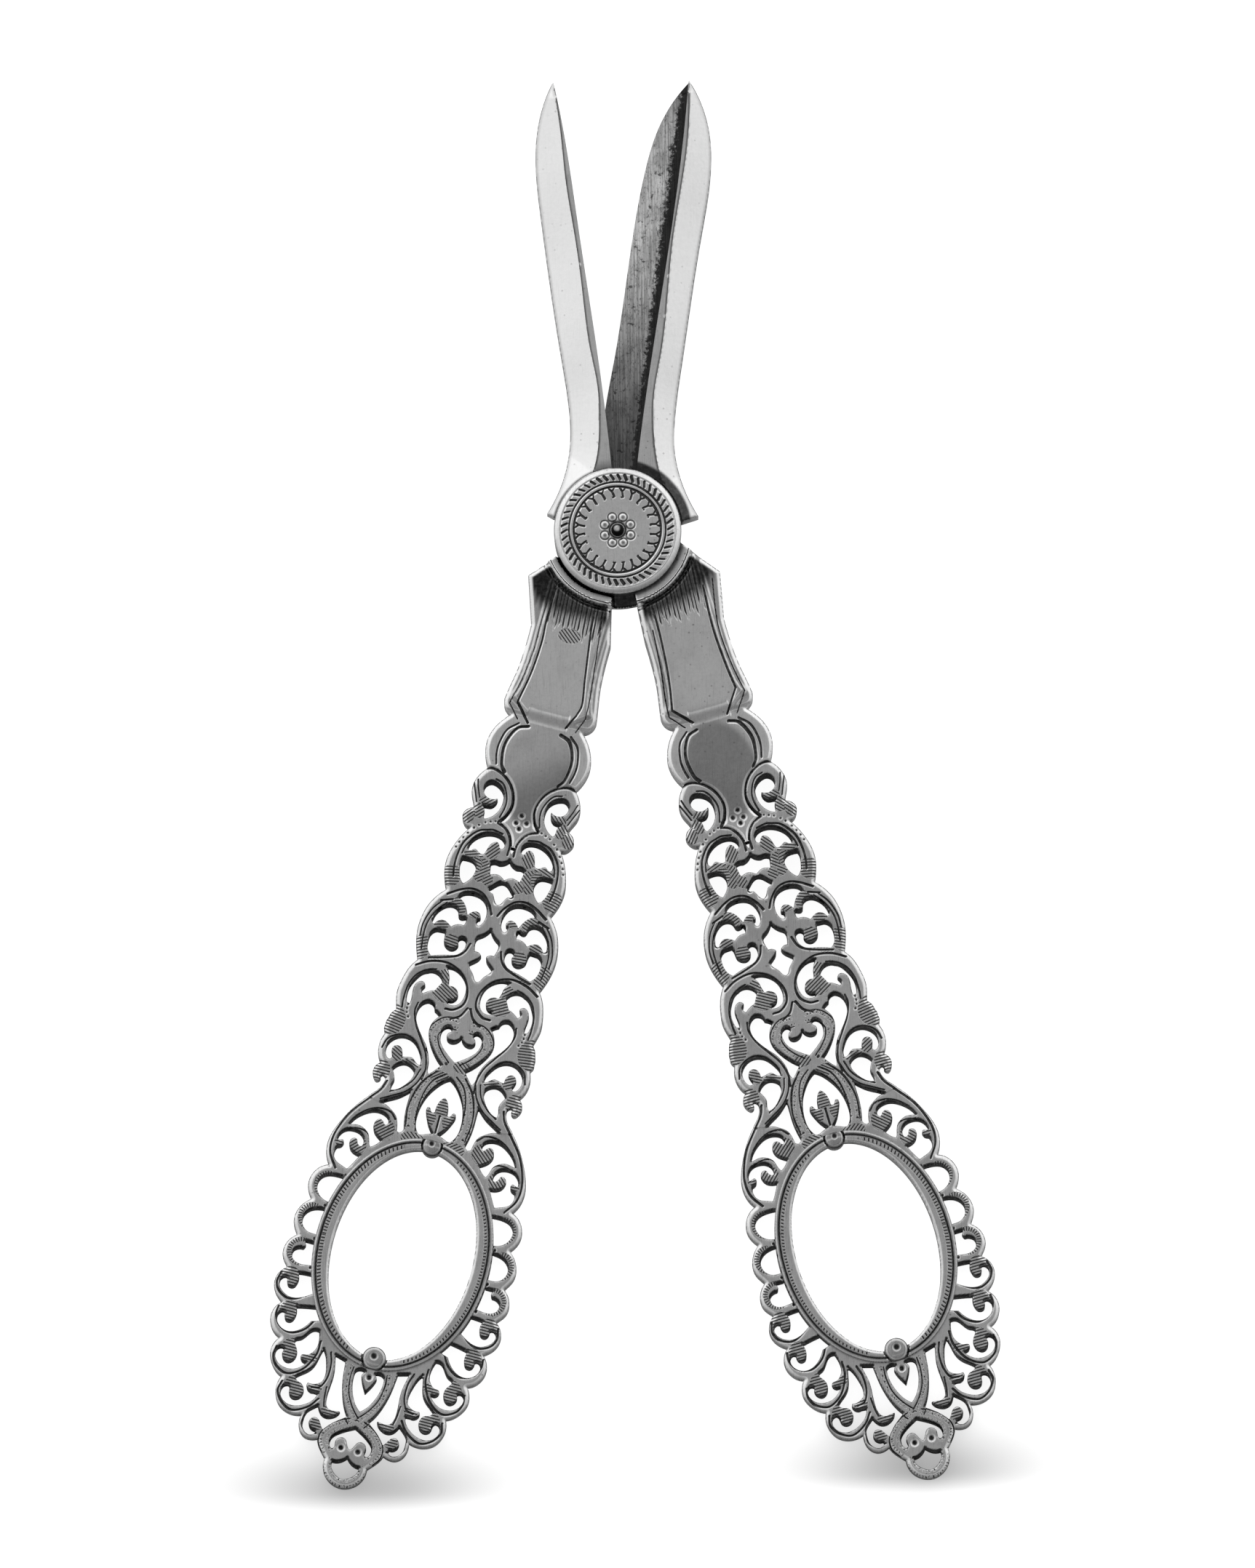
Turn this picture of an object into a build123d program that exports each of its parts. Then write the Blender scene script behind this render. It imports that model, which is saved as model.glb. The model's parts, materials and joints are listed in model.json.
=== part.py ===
"""Grape shears: two scissor halves with pierced scroll handles on one pivot.

The shears lie flat, +Z up and +Y towards the blades, with the origin on the
pivot axis in the plane that they rest on. Each handle is drawn on its own axis:
"across" is measured from that axis and "down" from the pivot towards the bow.
"""
from build123d import *
import math
import os

# Handle, in millimetres
handle_tilt = 15.6            # each handle's axis from the line of the shears, degrees
shank_length = 32.0           # pivot to the start of the pierced grip
neck_half_width = 6.75        # round plate below the shank
grip_length = 48.6            # start of the grip to the top of the finger bow
grip_half_width = 10.0
bow_height = 30.0             # finger bow, outside
bow_half_width = 11.15
drop_length = 15.4            # bow to the tip of the finial
left_axis_offset = 2.3        # pivot to the handle's axis, towards the other handle
right_axis_offset = 4.65
left_axis_rise = 0.17
right_axis_rise = 0.33

# Thickness of the handle's stages
shank_thickness = 3.0
panel_rise = 0.6              # raised panel on the shank
panel_inset = 1.1
neck_step = 0.3               # the neck plate lies this much below the shank
grip_root_thickness = 2.7
grip_thickness = 2.2
taper_shares = (0.3, 0.5)       # where the grip thins, along its length
bow_thickness = 2.4
bow_side_width = 2.25
bow_end_width = 1.4
bow_round = 0.45
top_bead_radius = 1.3
bottom_bead_radius = 1.5
bead_pit_radius = 0.45
fringe_thickness = 1.8

# Pivot
boss_radius = 8.0             # bosses and blade tangs
boss_thickness = 1.0
tang_thickness = 1.0
joint_gap = 0.05              # between the halves, along the pivot
turning_gap = 0.3             # between the halves, round the pivot
lap_radius = 9.35             # tongue of the rear boss between the shoulders
lap_from, lap_to = -125.0, -50.0   # degrees
ledge_radius = 9.6            # stepped ledge of the shoulders
ledge_height = 3.8
rim_width = 0.3
rim_rise = 0.2
left_shoulder_inner = 3.75    # shoulder's edges, from the handle's axis
right_shoulder_inner = 4.75
left_shoulder_outer = 7.2
right_shoulder_outer = 6.4
shoulder_corner_drop = 8.0
disc_radius = 8.05
disc_thickness = 1.0
disc_round = 0.45
flower_petals = 8
flower_radius = 2.05
petal_radius = 0.54
petal_rise = 0.12
pin_radius = 1.25
pin_clearance = 0.05
nose_radius = 0.76
nose_height = 0.6
nose_round = 0.45
shaft_top_drop = 0.45         # shaft's top below the top of the disc
cap_radius = 3.0
cap_thickness = 0.6

# Blades
blade_length = 58.0
blade_spread = 10.0
flange_height = 4.2
land_height = 3.4
plate_thickness = 1.0         # steel plate of the right blade
edge_thickness = 0.85         # steel edge of the left blade
root_share = 0.5              # the blades' roots run in to this share of the tang's radius
left_root_angle = 130.0       # where each run-in lies round the pivot, degrees
left_edge_root_angle = 110.0
right_root_angle = 50.0
right_plate_root_angle = 80.0

# Heights of the stacked pivot
rear_boss_top = boss_thickness
rear_tang_top = rear_boss_top + tang_thickness
front_tang_bottom = rear_tang_top + joint_gap
front_tang_top = front_tang_bottom + tang_thickness
disc_bottom = front_tang_top + boss_thickness
disc_top = disc_bottom + disc_thickness
tall = disc_top + nose_height     # one overrun for all cuts
wide = shank_length + grip_length + bow_height + drop_length

# The handle's drawing. Each point is a share across and a share down. Across is a
# share of the stage's half width. Down runs from 0 to 1 along the grip, from 1 to 2
# along the bow and from 2 to 3 along the drop. Each list is one smooth run, and the
# next run starts at a corner.
blend_share = 0.85            # the half width passes from grip to bow after this share
bow_middle_share = 1.5
side_hole_shares = {
    "eye": [
        [(0.455, 0.055), (0.365, 0.062), (0.3, 0.076), (0.275, 0.099), (0.29, 0.119), (0.35, 0.14),
         (0.445, 0.153)],
        [(0.445, 0.153), (0.47, 0.142), (0.475, 0.13), (0.52, 0.122)],
        [(0.52, 0.122), (0.475, 0.119), (0.41, 0.117), (0.365, 0.108), (0.35, 0.093)],
        [(0.35, 0.093), (0.4, 0.098), (0.46, 0.098), (0.52, 0.091), (0.55, 0.076), (0.525, 0.062),
         (0.455, 0.055)],
    ],
    "arch_upper": [
        [(0.55, 0.239), (0.52, 0.216), (0.445, 0.199), (0.34, 0.188), (0.24, 0.186), (0.15, 0.193),
         (0.11, 0.206), (0.115, 0.216)],
        [(0.115, 0.216), (0.145, 0.219), (0.175, 0.21)],
        [(0.175, 0.21), (0.22, 0.204), (0.27, 0.21), (0.305, 0.224), (0.33, 0.242)],
        [(0.33, 0.242), (0.4, 0.242), (0.46, 0.236), (0.51, 0.243), (0.55, 0.239)],
    ],
    "arch_lower": [
        [(0.58, 0.267), (0.51, 0.266), (0.43, 0.27), (0.385, 0.284), (0.385, 0.298), (0.415, 0.314),
         (0.49, 0.331)],
        [(0.49, 0.331), (0.55, 0.317), (0.58, 0.298), (0.595, 0.28), (0.58, 0.267)],
    ],
    "hood_inner": [
        [(0.5, 0.37), (0.46, 0.358), (0.375, 0.351), (0.275, 0.351), (0.185, 0.359), (0.13, 0.374),
         (0.105, 0.391), (0.105, 0.407), (0.14, 0.424)],
        [(0.14, 0.424), (0.185, 0.426), (0.2, 0.418), (0.17, 0.41)],
        [(0.17, 0.41), (0.18, 0.398), (0.22, 0.393), (0.27, 0.395), (0.31, 0.402), (0.33, 0.408)],
        [(0.33, 0.408), (0.36, 0.395), (0.41, 0.38), (0.5, 0.37)],
    ],
    "hood_outer": [
        [(0.74, 0.438), (0.715, 0.42), (0.65, 0.403), (0.57, 0.394), (0.495, 0.396), (0.45, 0.409)],
        [(0.45, 0.409), (0.43, 0.418), (0.345, 0.416)],
        [(0.345, 0.416), (0.33, 0.426), (0.345, 0.436)],
        [(0.345, 0.436), (0.43, 0.438), (0.495, 0.448)],
        [(0.495, 0.448), (0.54, 0.441), (0.62, 0.436), (0.675, 0.442), (0.71, 0.452)],
        [(0.71, 0.452), (0.74, 0.448), (0.74, 0.438)],
    ],
    "bud": [
        [(0.65, 0.465), (0.56, 0.464)],
        [(0.56, 0.464), (0.54, 0.477), (0.53, 0.492), (0.485, 0.502), (0.42, 0.505), (0.365, 0.498),
         (0.35, 0.485)],
        [(0.35, 0.485), (0.36, 0.476), (0.325, 0.47), (0.28, 0.472), (0.255, 0.484), (0.27, 0.5),
         (0.33, 0.514), (0.44, 0.521), (0.55, 0.527), (0.64, 0.534)],
        [(0.64, 0.534), (0.695, 0.523), (0.73, 0.498), (0.715, 0.477), (0.65, 0.465)],
    ],
    "comma": [
        [(0.41, 0.553), (0.32, 0.552), (0.22, 0.561), (0.14, 0.578), (0.102, 0.601), (0.11, 0.623),
         (0.155, 0.64), (0.23, 0.646), (0.29, 0.644)],
        [(0.29, 0.644), (0.285, 0.637)],
        [(0.285, 0.637), (0.22, 0.633), (0.185, 0.621), (0.2, 0.607), (0.25, 0.599), (0.32, 0.599)],
        [(0.32, 0.599), (0.34, 0.586), (0.35, 0.574)],
        [(0.35, 0.574), (0.37, 0.564), (0.41, 0.553)],
    ],
    "kidney": [
        [(0.63, 0.577), (0.53, 0.573), (0.455, 0.581), (0.415, 0.594)],
        [(0.415, 0.594), (0.445, 0.605), (0.48, 0.619)],
        [(0.48, 0.619), (0.54, 0.624), (0.615, 0.635)],
        [(0.615, 0.635), (0.64, 0.624), (0.615, 0.613), (0.65, 0.605), (0.7, 0.607), (0.74, 0.617),
         (0.75, 0.634), (0.745, 0.669)],
        [(0.745, 0.669), (0.785, 0.667)],
        [(0.785, 0.667), (0.81, 0.642), (0.795, 0.621), (0.75, 0.601), (0.69, 0.584), (0.63, 0.577)],
    ],
    "lung": [
        [(0.52, 0.652), (0.59, 0.662), (0.625, 0.679), (0.625, 0.695), (0.595, 0.712), (0.54, 0.73),
         (0.465, 0.749), (0.4, 0.765), (0.35, 0.784), (0.32, 0.805), (0.305, 0.827), (0.28, 0.835)],
        [(0.28, 0.835), (0.225, 0.823), (0.155, 0.805)],
        [(0.155, 0.805), (0.22, 0.794), (0.295, 0.777), (0.36, 0.758), (0.405, 0.739),
         (0.42, 0.716), (0.395, 0.698), (0.335, 0.682)],
        [(0.335, 0.682), (0.375, 0.675), (0.42, 0.67)],
        [(0.42, 0.67), (0.45, 0.657), (0.52, 0.652)],
    ],
    "curl_upper": [
        [(0.415, 0.819), (0.42, 0.805), (0.465, 0.786), (0.54, 0.767), (0.64, 0.757), (0.74, 0.758),
         (0.83, 0.77), (0.88, 0.788), (0.88, 0.805), (0.84, 0.82)],
        [(0.84, 0.82), (0.8, 0.822), (0.78, 0.815)],
        [(0.78, 0.815), (0.805, 0.802), (0.805, 0.792), (0.77, 0.784), (0.71, 0.785),
         (0.675, 0.794), (0.67, 0.808)],
        [(0.67, 0.808), (0.61, 0.807), (0.53, 0.805), (0.48, 0.813), (0.415, 0.819)],
    ],
    "curl_lower": [
        [(0.47, 0.837), (0.52, 0.828), (0.595, 0.824), (0.67, 0.83), (0.735, 0.846)],
        [(0.735, 0.846), (0.696, 0.858), (0.669, 0.872), (0.676, 0.887), (0.664, 0.9)],
        [(0.664, 0.9), (0.608, 0.896), (0.537, 0.883), (0.484, 0.866), (0.46, 0.85), (0.47, 0.837)],
    ],
    "wedge": [
        [(0.427, 0.889), (0.42, 0.914), (0.412, 0.94), (0.389, 0.969), (0.361, 0.991)],
        [(0.361, 0.991), (0.39, 1.002), (0.436, 0.998)],
        [(0.436, 0.998), (0.455, 0.979), (0.493, 0.962), (0.562, 0.95), (0.645, 0.94),
         (0.721, 0.938)],
        [(0.721, 0.938), (0.643, 0.926), (0.544, 0.913), (0.472, 0.899), (0.427, 0.889)],
    ],
    "crescent": [
        [(0.969, 1.022), (0.912, 0.99), (0.84, 0.974), (0.754, 0.964), (0.653, 0.964),
         (0.576, 0.973), (0.552, 0.987)],
        [(0.552, 0.987), (0.582, 0.991), (0.617, 0.983), (0.664, 0.98), (0.696, 0.988), (0.7, 1),
         (0.682, 1.022), (0.637, 1.04), (0.574, 1.055)],
        [(0.574, 1.055), (0.619, 1.077), (0.673, 1.092)],
        [(0.673, 1.092), (0.704, 1.067), (0.726, 1.043), (0.78, 1.025), (0.852, 1.015),
         (0.915, 1.017), (0.969, 1.022)],
    ],
    "hook": [
        [(1.054, 1.097), (1.036, 1.07), (0.987, 1.05), (0.906, 1.042), (0.825, 1.048),
         (0.771, 1.067), (0.758, 1.087)],
        [(0.758, 1.087), (0.785, 1.1), (0.816, 1.092), (0.83, 1.078)],
        [(0.83, 1.078), (0.87, 1.072), (0.906, 1.083), (0.906, 1.107), (0.87, 1.127),
         (0.816, 1.137), (0.762, 1.14)],
        [(0.762, 1.14), (0.807, 1.173), (0.861, 1.207)],
        [(0.861, 1.207), (0.951, 1.195), (1.018, 1.18), (1.049, 1.153), (1.031, 1.127)],
        [(1.031, 1.127), (0.987, 1.118), (0.973, 1.103)],
        [(0.973, 1.103), (0.996, 1.092), (1.022, 1.095), (1.054, 1.097)],
    ],
    "scallop_1": [
        [(0.762, 1.253), (1.004, 1.248), (1.085, 1.26), (1.135, 1.29), (1.121, 1.323),
         (1.067, 1.348), (0.996, 1.36), (0.852, 1.36)],
        [(0.852, 1.36), (0.762, 1.253)],
    ],
    "scallop_2": [
        [(0.852, 1.403), (1.04, 1.4), (1.13, 1.413), (1.193, 1.447), (1.179, 1.48), (1.112, 1.503),
         (1.022, 1.508), (0.852, 1.508)],
        [(0.852, 1.508), (0.852, 1.403)],
    ],
    "scallop_3": [
        [(0.852, 1.55), (1.04, 1.547), (1.103, 1.547)],
        [(1.103, 1.547), (1.081, 1.563), (1.103, 1.58)],
        [(1.103, 1.58), (1.157, 1.583), (1.202, 1.6), (1.197, 1.623), (1.148, 1.64), (1.058, 1.645),
         (0.852, 1.637)],
        [(0.852, 1.637), (0.852, 1.55)],
    ],
    "scroll_1": [
        [(0.807, 1.682), (1.004, 1.682), (1.076, 1.685)],
        [(1.076, 1.685), (1.058, 1.703), (1.063, 1.727), (1.094, 1.747), (1.148, 1.748),
         (1.175, 1.733), (1.175, 1.718)],
        [(1.175, 1.718), (1.215, 1.713), (1.256, 1.73), (1.242, 1.757), (1.184, 1.778),
         (1.103, 1.79), (1.004, 1.785), (0.924, 1.77), (0.834, 1.747)],
        [(0.834, 1.747), (0.807, 1.682)],
    ],
    "scroll_2": [
        [(0.735, 1.807), (0.897, 1.817), (0.996, 1.825)],
        [(0.996, 1.825), (0.982, 1.843), (0.987, 1.87), (1.022, 1.89), (1.076, 1.89),
         (1.103, 1.873), (1.103, 1.86)],
        [(1.103, 1.86), (1.143, 1.857), (1.179, 1.873), (1.17, 1.9), (1.112, 1.923), (1.022, 1.932),
         (0.924, 1.92), (0.843, 1.893), (0.798, 1.867)],
        [(0.798, 1.867), (0.628, 1.83), (0.735, 1.807)],
    ],
    "scroll_3": [
        [(0.682, 1.9), (0.753, 1.905), (0.807, 1.93), (0.879, 1.955)],
        [(0.879, 1.955), (0.915, 1.967), (0.874, 1.993), (0.857, 2.039), (0.883, 2.091),
         (0.942, 2.114), (0.996, 2.094), (1.018, 2.052), (1.004, 2.023)],
        [(1.004, 2.023), (1.049, 2.01), (1.09, 2.039), (1.085, 2.091), (1.031, 2.14),
         (0.951, 2.162), (0.861, 2.159), (0.78, 2.127), (0.722, 2.078)],
        [(0.722, 2.078), (0.767, 2.081), (0.803, 2.058)],
        [(0.803, 2.058), (0.794, 2.023), (0.744, 2.016), (0.695, 1.995), (0.659, 1.97),
         (0.655, 1.937), (0.682, 1.9)],
    ],
    "scroll_4": [
        [(0.578, 1.97), (0.534, 1.997), (0.502, 2.065), (0.484, 2.143), (0.502, 2.198)],
        [(0.502, 2.198), (0.556, 2.227), (0.61, 2.237), (0.65, 2.234)],
        [(0.65, 2.234), (0.655, 2.269), (0.619, 2.299), (0.565, 2.302)],
        [(0.565, 2.302), (0.511, 2.305)],
        [(0.511, 2.305), (0.547, 2.364), (0.619, 2.412), (0.709, 2.442), (0.807, 2.445),
         (0.888, 2.412), (0.924, 2.357), (0.906, 2.312), (0.857, 2.295)],
        [(0.857, 2.295), (0.834, 2.318), (0.825, 2.36), (0.78, 2.39), (0.717, 2.383),
         (0.677, 2.341), (0.682, 2.286), (0.726, 2.253)],
        [(0.726, 2.253), (0.78, 2.237), (0.803, 2.218)],
        [(0.803, 2.218), (0.753, 2.185), (0.682, 2.143), (0.628, 2.084), (0.605, 2.019),
         (0.578, 1.97)],
    ],
    "tendril_gap": [
        [(0.43, 1.98), (0.305, 1.993)],
        [(0.305, 1.993), (0.296, 2.058), (0.278, 2.156), (0.242, 2.26), (0.188, 2.357),
         (0.126, 2.425)],
        [(0.126, 2.425), (0.188, 2.458), (0.26, 2.5), (0.318, 2.545), (0.35, 2.575)],
        [(0.35, 2.575), (0.39, 2.536), (0.426, 2.503), (0.475, 2.494), (0.516, 2.519),
         (0.52, 2.562), (0.484, 2.594), (0.435, 2.601)],
        [(0.435, 2.601), (0.43, 2.623), (0.475, 2.643), (0.538, 2.63), (0.583, 2.588),
         (0.592, 2.532), (0.578, 2.474), (0.534, 2.435), (0.475, 2.399)],
        [(0.475, 2.399), (0.448, 2.435), (0.413, 2.461), (0.35, 2.474), (0.287, 2.461),
         (0.233, 2.429), (0.215, 2.399)],
        [(0.215, 2.399), (0.269, 2.403), (0.323, 2.406), (0.368, 2.39), (0.395, 2.351),
         (0.404, 2.286), (0.395, 2.188), (0.395, 2.091), (0.413, 2.019), (0.43, 1.98)],
    ],
}
middle_hole_shares = {
    "peak": [
        [(0, 0.243), (0.05, 0.253), (0.12, 0.258)],
        [(0.12, 0.258), (0.18, 0.257), (0.22, 0.261)],
        [(0.22, 0.261), (0.21, 0.276), (0.195, 0.291)],
        [(0.195, 0.291), (0.14, 0.287), (0.09, 0.286), (0.04, 0.29), (0, 0.296)],
    ],
    "spade": [
        [(0, 0.303), (0.06, 0.308), (0.11, 0.318), (0.16, 0.327)],
        [(0.16, 0.327), (0.145, 0.333), (0.1, 0.337)],
        [(0.1, 0.337), (0.065, 0.347), (0.03, 0.359), (0, 0.363)],
    ],
    "star": [
        [(0, 0.431), (0.04, 0.443), (0.11, 0.455)],
        [(0.11, 0.455), (0.145, 0.463), (0.145, 0.479), (0.125, 0.494)],
        [(0.125, 0.494), (0.08, 0.494), (0.032, 0.501)],
        [(0.032, 0.501), (0.055, 0.513), (0.1, 0.522), (0.15, 0.531)],
        [(0.15, 0.531), (0.12, 0.542), (0.065, 0.555), (0.035, 0.566), (0, 0.571)],
    ],
    "heart": [
        [(0, 0.722), (0.045, 0.735), (0.11, 0.74), (0.165, 0.736), (0.185, 0.725), (0.16, 0.716)],
        [(0.16, 0.716), (0.14, 0.71), (0.17, 0.703), (0.22, 0.705), (0.26, 0.716), (0.26, 0.733),
         (0.23, 0.749), (0.17, 0.763), (0.08, 0.778), (0, 0.789)],
    ],
    "pod": [
        [(0, 0.835), (0.06, 0.843), (0.139, 0.861), (0.209, 0.885), (0.253, 0.914), (0.265, 0.947),
         (0.246, 0.972), (0.203, 0.989)],
        [(0.203, 0.989), (0.166, 0.994), (0.126, 0.991), (0.086, 0.987), (0.036, 0.984)],
        [(0.036, 0.984), (0.064, 0.977), (0.11, 0.963), (0.154, 0.944), (0.179, 0.928),
         (0.176, 0.92)],
        [(0.176, 0.92), (0.142, 0.919), (0.123, 0.926), (0.075, 0.928)],
        [(0.075, 0.928), (0.072, 0.912), (0.048, 0.895), (0, 0.884)],
    ],
    "drop_oval": [
        [(0, 2.205), (0.045, 2.149), (0.081, 2.09), (0.086, 2.06), (0.07, 2.04), (0.05, 2.03)],
        [(0.05, 2.03), (0.081, 2.025), (0.121, 2.025), (0.157, 2.04), (0.172, 2.085),
         (0.161, 2.156), (0.126, 2.234), (0.072, 2.305), (0, 2.357)],
    ],
    "small_heart": [
        [(0, 2.5), (0.076, 2.529), (0.166, 2.571), (0.229, 2.62), (0.238, 2.669), (0.206, 2.705)],
        [(0.206, 2.705), (0.175, 2.692), (0.179, 2.649), (0.157, 2.61), (0.117, 2.597),
         (0.076, 2.604), (0.045, 2.636), (0, 2.682)],
    ],
    "finial_loop": [
        [(0, 2.753), (0.036, 2.779), (0.09, 2.802), (0.157, 2.808)],
        [(0.157, 2.808), (0.148, 2.851), (0.103, 2.893), (0.049, 2.919), (0, 2.929)],
    ],
}
outer_edge_shares = [
    [(0.57, 0.021), (0.64, 0.039), (0.695, 0.068), (0.685, 0.097), (0.635, 0.119),
     (0.615, 0.131)],
    [(0.615, 0.131), (0.68, 0.138), (0.725, 0.154), (0.695, 0.173), (0.63, 0.184),
     (0.59, 0.184)],
    [(0.59, 0.184), (0.67, 0.21), (0.74, 0.245), (0.775, 0.288), (0.745, 0.325), (0.68, 0.357)],
    [(0.68, 0.357), (0.765, 0.377), (0.845, 0.406), (0.89, 0.442), (0.898, 0.475),
     (0.865, 0.514), (0.795, 0.553)],
    [(0.795, 0.553), (0.88, 0.582), (0.925, 0.617), (0.94, 0.648), (0.915, 0.675),
     (0.89, 0.693)],
    [(0.89, 0.693), (0.935, 0.704), (0.955, 0.718)],
    [(0.955, 0.718), (0.97, 0.726), (0.97, 0.737)],
    [(0.97, 0.737), (0.975, 0.749), (0.945, 0.76)],
    [(0.945, 0.76), (0.975, 0.778), (0.98, 0.8), (0.945, 0.825), (0.9, 0.838)],
    [(0.9, 0.838), (0.95, 0.847), (0.961, 0.862), (0.92, 0.879), (0.871, 0.886), (0.84, 0.882),
     (0.845, 0.872)],
    [(0.845, 0.872), (0.825, 0.866), (0.787, 0.871), (0.774, 0.885), (0.798, 0.902),
     (0.871, 0.924), (0.956, 0.951), (1.026, 0.983), (1.094, 1.033), (1.148, 1.1),
     (1.143, 1.153), (1.072, 1.208)],
    [(1.072, 1.208), (1.175, 1.233), (1.233, 1.273), (1.238, 1.313), (1.202, 1.347),
     (1.161, 1.367)],
    [(1.161, 1.367), (1.238, 1.397), (1.287, 1.44), (1.278, 1.487), (1.233, 1.517),
     (1.211, 1.53)],
    [(1.211, 1.53), (1.274, 1.553), (1.314, 1.593), (1.3, 1.633), (1.247, 1.66), (1.22, 1.672)],
    [(1.22, 1.672), (1.291, 1.7), (1.318, 1.737), (1.291, 1.777), (1.22, 1.808), (1.175, 1.82)],
    [(1.175, 1.82), (1.238, 1.85), (1.256, 1.89), (1.22, 1.93), (1.139, 1.96), (1.094, 1.967)],
    [(1.094, 1.967), (1.143, 1.997), (1.152, 2.078), (1.103, 2.156), (1.013, 2.221),
     (0.96, 2.24)],
    [(0.96, 2.24), (0.987, 2.312), (0.969, 2.396), (0.906, 2.468), (0.816, 2.506),
     (0.709, 2.516), (0.628, 2.503)],
    [(0.628, 2.503), (0.632, 2.571), (0.601, 2.63), (0.529, 2.672), (0.448, 2.675),
     (0.386, 2.659)],
    [(0.386, 2.659), (0.354, 2.708), (0.305, 2.753), (0.247, 2.799)],
    [(0.247, 2.799), (0.242, 2.864), (0.197, 2.929), (0.108, 2.981), (0, 3)],
]
neck_edge_shares = [
    [(0.57, 0.021), (0.47, 0.02), (0.36, 0.029), (0.25, 0.047), (0.175, 0.074), (0.15, 0.103),
     (0.19, 0.132), (0.26, 0.154)],
    [(0.26, 0.154), (0.16, 0.163), (0.08, 0.181), (0.035, 0.206), (0, 0.226)],
]
# Where the bow's scrolls are soldered to the grip: a line through the side hole.
shoulder_seam_shares = [
    (0.721, 0.938), (0.96, 0.925), (1.6, 0.91), (1.6, 3.2), (0, 3.2), (0, 1.3), (0.4, 1.3),
    (0.4, 0.985), (0.43, 0.96), (0.5, 0.942), (0.62, 0.932),
]
# The shank's side, as shares of the neck's half width and of the shank's length
shank_side_shares = [
    [(0.77, 0.4375), (0.77, 0.53), (0.8, 0.625), (0.86, 0.703), (0.89, 0.75)],
    [(0.89, 0.75), (0.85, 0.778), (0.7, 0.803)],
    [(0.7, 0.803), (0.86, 0.844), (0.98, 0.9), (1.0, 0.94), (0.955, 0.988), (0.8444, 1.0319)],
]
panel_end_share = 0.79        # end of the raised panel, down the shank
panel_mitre_share = 0.735     # where its mitred end starts
panel_end_width_share = 0.38

# Blades, as shares of the spread across and of the blade's length
left_outer_shares = [
    [(-0.756, 1), (-0.988, 0.856), (-0.938, 0.705), (-0.697, 0.393), (-0.606, 0.284),
     (-0.586, 0.215), (-0.613, 0.164), (-0.702, 0.105), (-0.891, 0.04)],
    [(-0.891, 0.04), (-0.775, 0.0285)],
]
left_flange_shares = [(-0.331, 0.12), (-0.243, 0.176), (-0.221, 0.241), (-0.235, 0.319), (-0.327, 0.405),
                      (-0.381, 0.472), (-0.428, 0.552), (-0.51, 0.66), (-0.615, 0.78), (-0.685, 0.904),
                      (-0.722, 0.95), (-0.756, 1)]
left_cut_shares = [(-0.056, 0.12), (-0.238, 0.405), (-0.45, 0.667), (-0.646, 0.904), (-0.756, 1)]
right_outer_shares = [
    [(0.958, 1), (1.228, 0.864), (1.092, 0.649), (0.851, 0.389), (0.734, 0.239), (0.731, 0.181),
     (0.793, 0.122), (1.024, 0.032)],
    [(1.024, 0.032), (0.79, 0.0195)],
]
right_flange_shares = [(0.585, 0.1), (0.5, 0.162), (0.467, 0.227), (0.482, 0.308), (0.568, 0.389),
                       (0.737, 0.645), (0.888, 0.799), (0.968, 0.945), (0.958, 1)]
right_land_shares = [(0.236, 0.12), (0.488, 0.422), (0.93, 0.945), (0.958, 1)]
right_plate_shares = [(-0.22, 0.12), (-0.131, 0.286), (-0.014, 0.391), (0.39, 0.8), (0.538, 0.885),
                      (0.95, 0.997)]


def handle_point(across, down):
    """A point of the handle's drawing, in millimetres in the handle's own plane."""
    blend = min(max((down - blend_share) / (1 - blend_share), 0), 1)
    half_width = grip_half_width + (bow_half_width - grip_half_width) * blend
    length = (shank_length + grip_length * min(down, 1) + bow_height * min(max(down - 1, 0), 1)
              + drop_length * max(down - 2, 0))
    return across * half_width, -length


def shank_point(across, down):
    return across * neck_half_width, -down * shank_length


def blade_point(across, along):
    return across * blade_spread, along * blade_length


def smooth(points):
    return Line(*points) if len(points) == 2 else Spline(*points)


def mirrored(runs):
    """The same runs on the other side of the axis, from the last point to the first."""
    return [[(-x, y) for x, y in reversed(run)] for run in reversed(runs)]


def outline(runs):
    return make_face(Curve() + [smooth(run) for run in runs])


def drawn(runs, point=handle_point, side=1):
    return [[point(side * across, down) for across, down in run] for run in runs]


def slab(face, bottom, top):
    """The face as a plate between two heights."""
    return Pos(0, 0, bottom) * extrude(face, top - bottom)


def disc(radius, bottom, top):
    return slab(Circle(radius), bottom, top)


def sector(radius, start, end):
    """A slice of a disc about the pivot, from one angle to another."""
    reach = radius / math.cos(math.radians((end - start) / 4))
    rim = [(reach * math.cos(math.radians(a)), reach * math.sin(math.radians(a)))
           for a in (start, (start + end) / 2, end)]
    return Circle(radius) & make_face(Polyline((0, 0), *rim, (0, 0)))


def bow_ellipse(side_width=0, end_width=0):
    """The finger bow's oval, drawn in from its outside by the widths given."""
    middle = handle_point(0, bow_middle_share)[1]
    return Pos(0, middle) * Ellipse(bow_half_width - side_width, bow_height / 2 - end_width)


def pierced_face():
    """The pierced plate of grip and bow in one outline, less the finger bow itself."""
    half = [list(reversed(run)) for run in reversed(drawn(neck_edge_shares))] + drawn(outer_edge_shares)
    face = outline(half + mirrored(half))
    for runs in middle_hole_shares.values():
        half_hole = drawn(runs)
        whole = half_hole + mirrored(half_hole)
        face -= outline(whole)
    for runs in side_hole_shares.values():
        face -= outline(drawn(runs))
        face -= outline(drawn(runs, side=-1))
    return face - bow_ellipse()


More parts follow.
